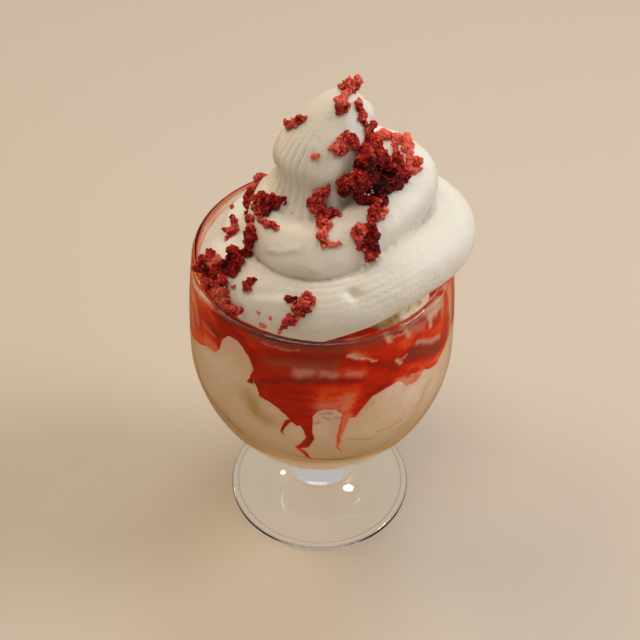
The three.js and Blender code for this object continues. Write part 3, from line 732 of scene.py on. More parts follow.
def ranged(tree, value, low, high, start=0.0, end=1.0):
    """The value moved from between low and high to between start and end."""
    return node(tree, "ShaderNodeMapRange", {
        "Value": value, "From Min": low, "From Max": high, "To Min": start, "To Max": end,
    }).outputs["Result"]


def ramp_colour(tree, share, stops):
    """A colour from stops of position and colour, lowest first."""
    ramp = node(tree, "ShaderNodeValToRGB", {"Fac": share})
    elements = ramp.color_ramp.elements
    for number, (position, colour) in enumerate((stops[0], stops[-1])):
        elements[number].position = position
        elements[number].color = (*colour, 1)
    for position, colour in stops[1:-1]:
        elements.new(position).color = (*colour, 1)
    return ramp.outputs["Color"]


def bump(tree, height, depth, shader):
    """A bump of that depth in mm."""
    made = node(tree, "ShaderNodeBump", {"Height": height, "Strength": 1.0, "Distance": depth * MM})
    tree.links.new(made.outputs["Normal"], shader.inputs["Normal"])


# Glass

def bowl_radius(z):
    up = np.clip((z - BOWL["widest"]) / (BOWL["rim"] - BOWL["widest"]), 0, 1)
    down = np.clip((BOWL["widest"] - z) / (BOWL["widest"] - BOWL["start"]), 0, 1)
    above = BOWL["radius"] - (BOWL["radius"] - BOWL["rim_radius"]) * up ** 2
    swell = (1 - down ** BOWL["roundness"]) ** (1 / BOWL["roundness"])
    below = STEM["radius"] + (BOWL["radius"] - STEM["radius"]) * swell
    return np.where(z >= BOWL["widest"], above, below)


def cavity_radius(z):
    """Radius of the hollow in the bowl, whose floor is a quarter ellipse."""
    z = np.asarray(z, float)
    wall_radius = bowl_radius(z) - BOWL["wall"]
    down = np.clip((BOWL["widest"] - z) / (BOWL["widest"] - CAVITY_FLOOR), 0, 1)
    floor_radius = (BOWL["radius"] - BOWL["wall"]) * np.sqrt(1 - down ** 2)
    return np.minimum(wall_radius, floor_radius)


def arc(centre_radius, centre_z, radius, start, end, steps):
    """Profile points on an arc, from one angle to another in degrees."""
    turns = np.radians(np.linspace(start, end, steps))
    return [(centre_radius + radius * math.cos(t), centre_z + radius * math.sin(t)) for t in turns]


def eased(points, passes):
    """A profile with its corners rounded, the more the more passes."""
    points = np.array(points, float)
    for _ in range(passes):
        points[1:-1] = (points[:-2] + 2 * points[1:-1] + points[2:]) / 4
    return [tuple(point) for point in points]


def glass_profile():
    """Radius and height from the middle of the underside, up the outside and down the hollow."""
    bead = FOOT["bead"]
    points = [(0, 0), (FOOT["radius"] * 0.5, 0)]
    points += arc(FOOT["radius"] - bead, bead, bead, -90, 140, 22)
    start, low = points.pop()
    rise = [(start, low)]
    for t in np.linspace(0, 1, 41)[1:]:
        radius = start * (1 - t) + STEM["collar"] * t
        settle = (low - FOOT["plate"]) * (1 - smoothstep(t, 0, 0.08))
        rise.append((radius, FOOT["plate"] + float(settle) + (FOOT["dome"] - FOOT["plate"]) * t ** 2.2))
    for t in np.linspace(0, 1, 41)[1:]:
        z = FOOT["dome"] + (BOWL["start"] - FOOT["dome"]) * t
        flare = (STEM["collar"] - STEM["waist"]) * (1 - t) ** 4
        flare += (STEM["radius"] - STEM["waist"]) * t ** 3
        rise.append((STEM["waist"] + flare, z))
    points += eased(rise, FOOT["easing"])
    for t in np.linspace(0, 1, 71)[1:]:
        z = BOWL["start"] + (BOWL["rim"] - LIP - BOWL["start"]) * t ** 2
        points.append((float(bowl_radius(z)), z))
    points += arc(BOWL["rim_radius"] - LIP, BOWL["rim"] - LIP, LIP, 0, 180, 13)[1:]
    points += list(reversed(cavity_profile(0)))[1:]
    return points


def cavity_profile(reach):
    """Radius and height up the wall of the hollow, a little way into the glass."""
    points = [(0, CAVITY_FLOOR - reach)]
    top = BOWL["rim"] - LIP
    for t in np.linspace(0, 1, 91)[1:]:
        z = CAVITY_FLOOR + (top - CAVITY_FLOOR) * t ** 2
        points.append((float(cavity_radius(z)) + reach, z - reach * (1 - t)))
    return points


def turned(profile, sides):
    angles = round_angles(sides)
    rows = []
    for radius, z in profile:
        if radius < 1e-6:
            rows.append(np.array([[0, 0, z]]))
        else:
            rows.append(polar(radius, angles, z))
    return ringed(rows)


def glass_material():
    material, shader, place = new_material("clear_glass")
    tree = material.node_tree
    # The tint along the lip and bead is painted reflection
    colour = mix_colour(tree, stored(tree, "edge"), GLASS_TINT, PAINTED_EDGE_REFLECTION)
    tree.links.new(colour, shader.inputs["Base Color"])
    shader.inputs["IOR"].default_value = GLASS_IOR
    shader.inputs["Transmission Weight"].default_value = 1.0
    smears = noise_mask(tree, place, 9, 3, 0.45, 0.8)
    tree.links.new(ranged(tree, smears, 0, 1, 0, 0.03), shader.inputs["Roughness"])
    clear = node(tree, "ShaderNodeBsdfTransparent", {"Color": (0.95, 0.96, 0.95, 1)})
    light = node(tree, "ShaderNodeLightPath")
    surface = shader.outputs["BSDF"]
    for ray in ("Is Diffuse Ray", "Is Shadow Ray"):
        mix = node(tree, "ShaderNodeMixShader", {
            0: light.outputs[ray], 1: surface, 2: clear.outputs["BSDF"],
        })
        surface = mix.outputs["Shader"]
    tree.links.new(surface, tree.nodes["Material Output"].inputs["Surface"])
    return material


def make_glass():
    piece = make_object("glass_goblet", *turned(glass_profile(), GLASS_SIDES))
    points = mesh_points(piece.data)
    from_edge = FOOT["radius"] - np.hypot(points[:, 0], points[:, 1])
    low = points[:, 2] < 2 * FOOT["bead"] + 0.5
    # Painted reflection: the lip and two lines on the bead are tinted for the dark and light lines that
    # refraction and reflection draw there
    lines = [np.exp(-((from_edge - place) / half) ** 2) for place, half in PAINTED_BEAD_LINES]
    on_lip = 0.7 * smoothstep(points[:, 2], BOWL["rim"] - 1.3, BOWL["rim"] - 0.6)
    set_values(piece, "edge", np.maximum(on_lip, low * np.maximum(*lines)))
    finish_piece(piece, glass_material(), "clear_glass", "glass")


# Fillings

def table_at(table, azimuth):
    """Heights from a table of azimuth and height, joined all the way round."""
    degrees = np.array([row[0] for row in table], float)
    heights = np.array([row[1] for row in table], float)
    return np.interp(azimuth, degrees, heights, period=360)


def sauce_edge(azimuth):
    """Height of the sauce's lower edge at the wall, rounded off at the back."""
    sharp = table_at(SAUCE_EDGE, azimuth)
    round_edge = sum(table_at(SAUCE_EDGE, azimuth + away) for away in EDGE_ROUNDING)
    round_edge = round_edge / len(EDGE_ROUNDING)
    return sharp + (round_edge - sharp) * at_back(np.radians(azimuth))


def azimuth_of(points):
    return np.degrees(np.arctan2(points[:, 1], points[:, 0]))


def at_front(points):
    """1 on the side that the picture shows, and 0 behind."""
    return smoothstep(-points[:, 1], -6, 8)


def at_back(angle):
    """0 on the side that the picture shows, and 1 behind."""
    return smoothstep(np.sin(angle), -0.1, 0.2)


def turn_between(azimuth, other):
    """Degrees from one azimuth to another, the short way round."""
    away = azimuth - other
    return away - 360 * np.round(away / 360)


def first_inside(points, radius_at):
    """The first of these points that lies within a turned surface."""
    x, y, z = points.T
    inside = (np.hypot(x, y) <= radius_at(z)) & (z < BOWL["rim"])
    return points[np.argmax(inside)] if inside.any() else None


def through_glass(x, y):
    """Azimuth and height on the inner wall of what the picture shows at that place,
    by a ray that is bent where it enters the glass."""
    ray = picture_ray(x, y)
    outer = first_inside(EYE + np.linspace(300, 600, 6001)[:, None] * ray, bowl_radius)
    slope = float(bowl_radius(outer[2] + 0.01) - bowl_radius(outer[2] - 0.01)) / 0.02
    across = math.hypot(outer[0], outer[1])
    normal = np.array([outer[0] / across, outer[1] / across, -slope])
    normal /= np.linalg.norm(normal)
    facing = -normal @ ray
    bent = ray / GLASS_IOR
    bent += (facing / GLASS_IOR - math.sqrt(1 - (1 - facing ** 2) / GLASS_IOR ** 2)) * normal
    inner = first_inside(outer + np.linspace(0, 40, 4001)[:, None] * bent, cavity_radius)
    return math.degrees(math.atan2(inner[1], inner[0])), inner[2]


def along_wall(azimuth, z, turn_a, z_a, turn_b, z_b):
    """Distance from points of the wall to a line on it, in mm, and the share of the line passed."""
    x = turn_between(azimuth, turn_a) * ARC_MM
    y = z - z_a
    along = np.array([turn_between(turn_b, turn_a) * ARC_MM, z_b - z_a])
    t = np.clip((x * along[0] + y * along[1]) / max(along @ along, 1e-9), 0, 1)
    return np.hypot(x - t * along[0], y - t * along[1]), t


def run_cover(run, azimuth, z):
    """How far inside a run of sauce a point of the wall is, in mm."""
    cover = np.full(azimuth.shape, -50.0)
    for (turn_a, z_a, half_a), (turn_b, z_b, half_b) in zip(run[:-1], run[1:]):
        away, t = along_wall(azimuth, z, turn_a, z_a, turn_b, z_b)
        cover = np.maximum(cover, half_a + (half_b - half_a) * t - away)
    return cover


def sauce_cover(azimuth, z):
    """How far inside the sauce a point of the wall is, in mm, below 0 outside it."""
    angle = np.radians(azimuth)
    places = polar(BOWL["radius"], angle, z).reshape(-1, 3)
    rough = 0.35 * noise(places, 2.4, 3, 3).reshape(azimuth.shape)
    rough = rough + 1.1 * at_back(angle) * noise(places, 5, 17, 3).reshape(azimuth.shape)
    cover = 0.6 * (z - sauce_edge(azimuth)) + rough
    runs = [[(*through_glass(x, y), half) for x, y, half in run] for run in SAUCE_RUNS]
    for run in runs + BACK_RUNS:
        cover = np.maximum(cover, run_cover(run, azimuth, z) + 0.4 * rough)
    return cover


def touched(table, kind, points):
    """How strongly the touches of a kind tell at points of the wall. Their edges are torn."""
    tear = [0.9 * noise(points, 3, seed, 3) + 0.45 * noise(points, 0.9, seed + 3, 2) for seed in (21, 27)]
    azimuth = azimuth_of(points) + tear[0] / ARC_MM
    z = points[:, 2] + tear[1]
    ragged = 1 + 0.3 * noise(points * np.array([1, 1, 1.6]), 1.3, 31, 3)
    total = np.zeros(len(points))
    for touch_kind, strength, half, crisp, path in table:
        if touch_kind != kind:
            continue
        places = [through_glass(x, y) for x, y in path]
        away = np.full(len(points), 1e3)
        for (turn_a, z_a), (turn_b, z_b) in zip(places[:-1], places[1:]):
            away = np.minimum(away, along_wall(azimuth, z, turn_a, z_a, turn_b, z_b)[0])
        value = strength * np.exp(-(away * ragged / half) ** crisp)
        total += value if kind == "tone" else value * (1 - total)
    return total


def sauce_top(angle, share):
    low_side = SAUCE_LOW_SIDE * np.maximum(0, -np.cos(angle)) * smoothstep(np.sin(angle), -0.85, -0.2)
    return SAUCE_TOP + (SAUCE_WAVE * np.cos(4 * angle) - low_side) * share


def sauce_under(angle, share):
    """The sauce's underside: a low dome inside, and its edge at the wall."""
    at_wall = smoothstep(share, DOME["from"], DOME["to"])
    inside = DOME["height"] - DOME["fall"] * share ** 2 + DOME["wave"] * np.cos(3 * angle + 1) * share
    edge = np.maximum(sauce_edge(np.degrees(angle)), DOME["height"] - 1.6) + 0.8
    edge = np.minimum(edge, sauce_top(angle, share) - 1.2)
    return inside + (edge - inside) * at_wall


def smeared(azimuth):
    """How much of the smear up the wall there is at an azimuth, from 0 to 1."""
    return np.exp(-(turn_between(azimuth, SMEAR["middle"]) / SMEAR["spread"]) ** 4)


def sauce_rows():
    """A slab of sauce with runs down inside the glass. Where the wall has no
    sauce, its side lies hidden in the ice cream."""
    sides = 500
    angle = round_angles(sides)
    azimuth = np.degrees(angle)
    low = 54
    edge_z = sauce_under(angle, DOME["to"])
    top_z = sauce_top(angle, 1) + MENISCUS["height"] * np.clip(0.55 - 0.6 * np.sin(angle + 0.15), 0.1, 1)
    climb = smeared(azimuth) * (0.85 + 0.3 * noise(polar(BOWL["radius"], angle, 0 * angle), 5, 15, 3))
    top_z += np.clip(climb, 0, 1) * (SMEAR["top"] - top_z)
    rows = []
    for share in np.linspace(0.04, DOME["to"], 14):
        radius = share * (BOWL["radius"] - BOWL["wall"])
        rows.append(polar(radius, angle, sauce_under(angle, share)))
    for t in np.linspace(1, 0, 22)[1:]:
        z = low + (edge_z - low) * t
        rows.append(polar(cavity_radius(z) - FILM, angle, z))
    wall = [low + (edge_z - low) * t for t in np.linspace(0, 1, 96)]
    wall += [edge_z + (top_z - edge_z) * t for t in np.linspace(0, 1, 44)[1:]]
    cover = sauce_cover(np.broadcast_to(azimuth, (len(wall), sides)), np.array(wall))
    sunk = np.clip(0.8 * cover, -1.4, SAUCE_REACH)
    for z, reach in zip(wall, sunk):
        rows.append(polar(cavity_radius(z) + reach, angle, z))
    inner = cavity_radius(top_z)
    for t in np.linspace(0, 1, 24)[1:-1]:
        share = (1 - t) ** 0.8
        radius = inner * share
        rise = (top_z - sauce_top(angle, 1)) * np.exp(-(inner - radius) / MENISCUS["width"])
        lumps = 0.35 * noise(polar(radius, angle, 0 * angle), 6, 9, 3) * smoothstep(inner - radius, 0, 2)
        rows.append(polar(radius, angle, sauce_top(angle, share) + rise + lumps))
    under = np.array([[0, 0, float(sauce_under(np.zeros(1), 0)[0])]])
    return [under] + rows + [np.array([[0, 0, SAUCE_TOP]])]


def touch_sauce(piece):
    points = mesh_points(piece.data)
    azimuths = azimuth_of(points)
    thinning = np.exp(-np.maximum(sauce_cover(azimuths, points[:, 2]), 0) / SAUCE_MARGIN["width"])
    thinning *= SAUCE_MARGIN["tone"] * smoothstep(turn_between(azimuths, -90), -10, 25)
    drift = 0.16 * noise(points * np.array([0.6, 0.6, 2.4]), 4, 33, 3) + 0.1 * noise(points, 9, 35, 2)
    front = at_front(points)
    tone = SAUCE_TONE + touched(SAUCE_TOUCHES, "tone", points) * front + drift + thinning
    tone += (1 - front) * 0.35 * noise(points * np.array([0.5, 0.5, 1.6]), 5, 41, 3)
    film = smoothstep(points[:, 2], SAUCE_TOP - 9, SAUCE_TOP - 4) * smoothstep(points[:, 1], -26, -8)
    tone += 0.4 * film
    back_pale = (1 - front) * smoothstep(noise(points * np.array([0.6, 0.6, 2]), 4.5, 47, 3), 0.3, 0.6)
    set_values(piece, "tone", tone)
    thin = smeared(azimuths) * smoothstep(points[:, 2], SAUCE_TOP - 4, SAUCE_TOP - 1)
    thin *= SMEAR["pale"] - 0.007 * turn_between(azimuths, SMEAR["middle"]) + 0.4 * noise(points, 4, 55, 3)
    # The pale touches are streaks of ice cream, and at the right wall painted reflection
    set_values(piece, "pale", touched(SAUCE_TOUCHES, "pale", points) * front + 0.6 * back_pale + thin)
    # Painted haze under the rim, for light that the glass there refracts and reflects
    set_values(piece, "painted_haze", touched(SAUCE_TOUCHES, "painted_haze", points) * front)


def make_sauce():
    piece = make_object("strawberry_sauce_layer", *ringed(sauce_rows()))
    touch_sauce(piece)
    finish_piece(piece, sauce_material("sauce_at_glass", 0), "strawberry_sauce", "strawberry_sauce")
    piece.data.materials.append(sauce_material("sauce_open", 0.5))
    for face in piece.data.polygons:
        if face.normal.z > 0.6 and face.center.z > (SAUCE_TOP - SAUCE_LOW_SIDE - 2) * MM:
            face.material_index = 1


def sauce_material(name, gloss):
    """Sauce. Against the glass it has no gloss of its own."""
    material, shader, place = new_material(name)
    shader.inputs["Specular IOR Level"].default_value = gloss
    tree = material.node_tree
    clots = noise_mask(tree, place, 1.6, 3, 0.3, 0.7)
    share = maths(tree, "MULTIPLY_ADD", clots, 0.1, stored(tree, "tone"))
    red = ramp_colour(tree, share, SAUCE_RAMP)
    # Painted haze laid over the red
    veiled = mix_colour(tree, stored(tree, "painted_haze"), red, SAUCE_PAINTED_HAZE)
    colour = mix_colour(tree, stored(tree, "pale"), veiled, SAUCE_PALE)
    tree.links.new(colour, shader.inputs["Base Color"])
    shader.inputs["Roughness"].default_value = 0.16
    bump(tree, noise_mask(tree, place, 2.2, 4, 0.2, 0.8), 0.12, shader)
    return material


def make_ice_cream():
    """The ice cream between the melted part and the sauce."""
    sides = 360
    angle = round_angles(sides)
    melted = melted_top(angle)
    edge_z = sauce_under(angle, DOME["to"]) + 1.2
    wall_radius = BOWL["radius"] - BOWL["wall"]
    rows = [np.array([[0, 0, MELTED_LEVEL - 0.4]])]
    for share in np.linspace(0.1, 0.94, 10):
        rows.append(polar(share * wall_radius, angle, melted - 0.4))
    for t in np.linspace(0, 1, 120):
        z = melted - 0.4 + (edge_z - melted + 0.4) * t
        rows.append(polar(cavity_radius(z) + FILLING_REACH, angle, z))
    for share in np.linspace(0.94, 0.04, 24):
        rows.append(polar(share * wall_radius, angle, sauce_under(angle, share) + 0.3))
    rows.append(np.array([[0, 0, DOME["height"] + 0.3]]))
    piece = make_object("ice_cream_scoops", *ringed(rows))
    touch_filling(piece, ICE_TOUCHES, 1)
    finish_piece(piece, filling_material("ice_cream", ICE_COLOURS, 0), "ice_cream", "ice_cream")


def melted_top(angle):
    ripple = 1.2 * np.cos(2 * angle + 0.6) + 1.5 * np.sin(3 * angle + 2) + 0.5 * np.cos(7 * angle)
    return MELTED_LEVEL + ripple


def make_melted():
    """The melted ice cream in the bottom of the bowl."""
    sides = 360
    angle = round_angles(sides)
    top = melted_top(angle)
    rows = [np.array([[0, 0, CAVITY_FLOOR - FILLING_REACH]])]
    for radius, z in cavity_profile(FILLING_REACH)[1:]:
        if z < MELTED_LEVEL - 4:
            rows.append(polar(radius, angle, z + 0 * angle))
    low = rows[-1][0][2]
    for t in np.linspace(0, 1, 10)[1:]:
        z = low + (top - low) * t
        rows.append(polar(cavity_radius(z) + FILLING_REACH, angle, z))
    for share in np.linspace(0.9, 0.1, 8):
        rows.append(polar(share * cavity_radius(top), angle, MELTED_LEVEL + (top - MELTED_LEVEL) * share))
    rows.append(np.array([[0, 0, MELTED_LEVEL]]))
    piece = make_object("melted_ice_cream_pool", *ringed(rows))
    touch_filling(piece, MELTED_TOUCHES, 0)
    material = filling_material("melted_ice_cream", MELTED_COLOURS, 0)
    finish_piece(piece, material, "melted_ice_cream", "melted_ice_cream")


def touch_filling(piece, table, gold_low):
    points = mesh_points(piece.data)
    front = at_front(points)
    streaks = smoothstep(noise(points * np.array([1, 1, 0.45]), 4, 53, 3), 0.25, 0.75)
    azimuths = azimuth_of(points)
    below = np.minimum(sauce_cover(azimuths, points[:, 2]), 0)
    ragged = 0.7 + 0.6 * noise(points, 3, 61, 3)
    stain = STAIN["share"] * np.exp(below / STAIN["width"]) * np.clip(ragged, 0.1, 1.4)
    melting = 0.5 * (1 - smoothstep(points[:, 2], MELTED_LEVEL - 2, MELTED_LEVEL + 15))
    # The gold touches are melted ice cream, and low on the left painted shade
    set_values(piece, "gold", touched(table, "gold", points) * front + 0.35 * streaks + gold_low * melting)
    # Painted highlight: paler where light falls on the ice cream
    set_values(piece, "painted_highlight", touched(table, "painted_highlight", points) * front)
    set_values(piece, "line", touched(table, "line", points) * front)
    set_values(piece, "pink", np.clip(touched(table, "pink", points) * front + stain, 0, 1))


def filling_material(name, colours, gloss):
    """Ice cream, thick or melted, with its golden, pink and brown touches."""
    material, shader, place = new_material(name)
    shader.inputs["Specular IOR Level"].default_value = gloss
    tree = material.node_tree
    patches = noise_mask(tree, place, 14, 3, 0.35, 0.7)
    colour = mix_colour(tree, patches, colours["plain"], colours["darker"])
    for kind in TOUCH_KINDS:
        colour = mix_colour(tree, stored(tree, kind), colour, colours[kind])
    tree.links.new(colour, shader.inputs["Base Color"])
    shader.inputs["Roughness"].default_value = 0.45
    shader.inputs["Subsurface Weight"].default_value = 0.3
    shader.inputs["Subsurface Radius"].default_value = (0.005, 0.003, 0.002)
    bump(tree, noise_mask(tree, place, 1.4, 5, 0.2, 0.8), 0.2, shader)
    return material


def make_upper_scoop():
    sides = 150
    levels = 80
    rows = []
    angle = round_angles(sides)
    for i in range(levels + 1):
        tilt = math.pi * (i / levels - 0.5)
        z = SCOOP["height"] * math.sin(tilt)
        if i in (0, levels):
            rows.append(np.array([[0, 0, z]]))
        else:
            rows.append(polar(SCOOP["radius"] * math.cos(tilt) ** 0.6, angle, z))
    points, faces = ringed(rows)
    outward = points / np.array([SCOOP["radius"], SCOOP["radius"], SCOOP["height"]])
    outward /= np.linalg.norm(outward, axis=1)[:, None]
    lumps = 0.55 * noise(points, 7, 31, 2) + 0.45 * noise(points, 2.2, 37, 3)
    points = points + outward * lumps[:, None] + np.array([SCOOP["x"], SCOOP["y"], SCOOP["z"]])
    across = np.hypot(points[:, 0], points[:, 1])
    wall = cavity_radius(points[:, 2]) + FILLING_REACH
    points[:, :2] *= np.minimum(1, wall / across)[:, None]
    piece = make_object("upper_scoop_ragged", points, faces)
    surface = surface_of(piece)
    patches = {kind: np.zeros(len(points)) for kind in TOUCH_KINDS}
    ragged = 1 + 0.8 * noise(points, 1.4, 59, 3)
    for kind, x, y, half in SCOOP_PATCHES:
        reach, ray = seen_on(surface, x, y, 0)
        if reach is not None:
            away = np.linalg.norm(points - EYE - ray * reach, axis=1)
            patches[kind] = np.maximum(patches[kind], np.exp(-(away * ragged / half) ** 2))
    for kind, values in patches.items():
        set_values(piece, kind, values)
    finish_piece(piece, filling_material("upper_ice_cream", SCOOP_COLOURS, 0.4), "ice_cream", "upper_scoop")


# Cream

def rope_surface():
    rows_per_step = 22
    sides = 150
    last = len(ROPE) - 1
    places = np.linspace(0, last, last * rows_per_step + 1)
    values = smooth_table(ROPE, places)
    turn = -round_angles(sides)
    rows = []
    for place, (reach, height, wide, high) in zip(places, values):
        angle = math.radians(ROPE_START + ROPE_STEP * place)
        twist = 0.5 * place
        patchy = 0.2 + 0.8 * np.clip(np.sin(1.7 * place + 0.6) * np.cos(2 * turn + place), 0, 1)
        faded = RIDGES["fade"] * smoothstep(place, RIDGES["fade_from"], RIDGES["fade_to"])
        ridge = RIDGES["depth"] * (1 - faded) * patchy * np.cos(RIDGES["count"] * turn + twist)
        from_start = place / ROPE_TAPER["start"] + ROPE_TAPER["least"]
        from_end = (last - place) / ROPE_TAPER["end"] + ROPE_TAPER["least"]
        close = min(1, from_start, from_end) ** ROPE_TAPER["power"]
        across = reach + (wide * close + ridge) * np.cos(turn)
        rows.append(polar(across, angle, height + (high * close + ridge) * np.sin(turn)))
    ends = [np.mean(rows[0], axis=0)[None], np.mean(rows[-1], axis=0)[None]]
    return ringed([ends[0]] + rows + [ends[1]])


def column_surface():
    places = np.linspace(0, len(COLUMN) - 1, 100)
    values = smooth_table(COLUMN, places)
    angle = round_angles(150)
    rows = [np.array([[COLUMN[0][0], COLUMN[0][1], COLUMN[0][2]]], float)]
    from_middle = turn_between(np.degrees(angle), COLUMN_RIDGES["middle"]) / COLUMN_RIDGES["spread"]
    uneven = 0.75 + 0.25 * np.cos(9 * angle + 1)
    depth = COLUMN_RIDGES["elsewhere"] + COLUMN_RIDGES["depth"] * np.exp(-from_middle ** 2) * uneven
    for x, y, z, radius in values:
        fade = 1 - smoothstep(z, 158, 168)
        ridge = depth * fade * np.cos(COLUMN_RIDGES["count"] * angle + 0.03 * (z - 134))
        rows.append(polar(radius + ridge, angle, z) + np.array([x, y, 0]))
    rows.append(np.array([COLUMN_TIP], float))
    return ringed(rows)


def mound_surface():
    angle = round_angles(60)
    rows = [np.array([[MOUND["x"], MOUND["y"], MOUND["bottom"]]], float)]
    for t in np.linspace(0, 1, 20):
        radius = MOUND["bottom_radius"] + (MOUND["top_radius"] - MOUND["bottom_radius"]) * t
        z = MOUND["bottom"] + (MOUND["top"] - MOUND["bottom"]) * t
        rows.append(polar(radius, angle, z) + np.array([MOUND["x"] * (1 - t), MOUND["y"], 0]))
    rows.append(np.array([[0, MOUND["y"], MOUND["top"]]], float))
    return ringed(rows)


def ball(centre, radius, subdivisions):
    made = bmesh.new()
    bmesh.ops.create_icosphere(made, subdivisions=subdivisions, radius=1)
    points = np.array([vertex.co for vertex in made.verts])
    faces = [tuple(vertex.index for vertex in face.verts) for face in made.faces]
    made.free()
    return points * radius + np.array(centre), faces


def mark(points, normals, start, end, half, height):
    """Raises the surface along a line, or presses it in."""
    along = end - start
    t = np.clip((points - start) @ along / (along @ along), 0, 1)
    away = np.linalg.norm(points - start - t[:, None] * along, axis=1)
    return points + normals * (height * np.exp(-(away / half) ** 2))[:, None]


def free_the_rim(points):
    """Lifts the cream's lower edge where it leaves the rim free."""
    t = np.clip((azimuth_of(points) - RIM_GAP["from"]) / (RIM_GAP["to"] - RIM_GAP["from"]), 0, 1)
    low = 1 - smoothstep(points[:, 2], RIM_GAP["low"], RIM_GAP["high"])
    outer = smoothstep(np.hypot(points[:, 0], points[:, 1]), 24, 32)
    lift = RIM_GAP["lift"] * np.sin(math.pi * t) ** 0.7 * low * outer
    return points + np.column_stack([np.zeros_like(lift), np.zeros_like(lift), lift])


def fit_to_glass(points):
    """Keeps the cream off the glass: it rests on the rim and on the sauce, and
    where it fills the bowl it reaches just into the wall."""
    radius = np.hypot(points[:, 0], points[:, 1])
    angle = np.arctan2(points[:, 1], points[:, 0])
    z = points[:, 2]
    inner = cavity_radius(np.minimum(z, BOWL["rim"] - LIP)) + 0.1
    turn = turn_between(np.degrees(angle), LOW_EDGE["middle"]) / LOW_EDGE["spread"]
    above = np.maximum(z - LOW_EDGE["height"] - LOW_EDGE["slope"] * (inner - radius), 0)
    z = z - above * np.exp(-turn ** 4) * smoothstep(radius, 26, 31)
    over = (radius > inner) & (z < BOWL["rim"] + 0.1)
    inwards = radius - inner
    upwards = BOWL["rim"] + 0.1 - z
    lift = over & (upwards < inwards)
    pull = over & ~lift
    z = np.where(lift, BOWL["rim"] + 0.1, z)
    shrink = np.where(pull, inner / np.maximum(radius, 1e-6), 1)
    bottom = sauce_top(angle, np.clip(radius / BOWL["radius"], 0, 1)) - 0.4
    z = np.maximum(z, bottom)
    return np.column_stack([points[:, 0] * shrink, points[:, 1] * shrink, z])


def make_cream():
    parts = [rope_surface(), column_surface(), mound_surface()]
    parts.append(ball(CURL["centre"], CURL["radius"], 4))
    piece = fused("piped_cream", *joined(parts), CREAM_VOXEL, 3)
    mesh = piece.data
    points = mesh_points(mesh)
    normals = mesh_normals(mesh)
    crease = np.clip(CREASE["gain"] * hollowness(mesh, points, normals), -CREASE["most"], 0)
    relief = 0.45 * noise(points, 11, 5, 2) + 0.13 * noise(points, 2.6, 8, 2) + crease
    points = points + normals * relief[:, None]
    surface = surface_of(piece)
    for start, end, half, height in CREAM_MARKS:
        ends = []
        for x, y in (start, end):
            reach, ray = seen_on(surface, x, y, 0)
            ends.append(EYE + ray * reach)
        points = mark(points, normals, *ends, half, height)
    points = fit_to_glass(free_the_rim(points))
    move_points(mesh, points)
    finish_piece(piece, cream_material(), "whipped_cream", "whipped_cream")
    return piece


def cream_material():
    material, shader, place = new_material("whipped_cream")
    tree = material.node_tree
    tint = noise_mask(tree, place, 18, 3, 0.3, 0.7)
    colour = mix_colour(tree, tint, *CREAM_COLOURS)
    tree.links.new(colour, shader.inputs["Base Color"])
    shader.inputs["Roughness"].default_value = 0.5
    shader.inputs["Subsurface Weight"].default_value = 0.35
    shader.inputs["Subsurface Radius"].default_value = (0.004, 0.003, 0.002)
    shader.inputs["Subsurface Scale"].default_value = 1.0
    fine = noise_mask(tree, place, 0.9, 4, 0.2, 0.8)
    bump(tree, fine, 0.12, shader)
    return material


# Crumbs

def chunk(random, centre, size):
    """An angular lump, stretched and turned at random."""
    unit, faces = ball((0, 0, 0), 1, 1)
    turn = np.linalg.qr(random.normal(size=(3, 3)))[0]
    if np.linalg.det(turn) < 0:
        turn[0] *= -1
    corners = unit * random.uniform(0.72, 1.2, (len(unit), 1)) * random.uniform(0.7, 1.3, 3)
    return (corners * size) @ turn + centre, faces


def along_stroke(stroke):
    """Picture places and half widths spaced along a stroke."""
    path = np.array(stroke, float)
    run = np.concatenate([[0], np.cumsum(np.hypot(*np.diff(path[:, :2], axis=0).T))])
    step = 0.75 * path[:, 2].mean() * PICTURE_SCALE
    places = np.linspace(0, run[-1], max(1, round(run[-1] / step)) + 1)
    return np.column_stack([np.interp(places, run, path[:, k]) for k in range(3)])


def stroke_lumps(surface, stroke):
    """Centres and half widths of the lumps along a stroke, resting on a surface.
    Past the surface's edge they keep the distance of the lump before."""
    reach = None
    lumps = []
    for x, y, half in along_stroke(stroke):
        found, ray = seen_on(surface, x, y, CRUMB_RISE * half)
        if found is not None and (reach is None or found < reach + STROKE_JUMP):
            reach = found
        if reach is not None:
            lumps.append((EYE + ray * reach, half))
    return lumps


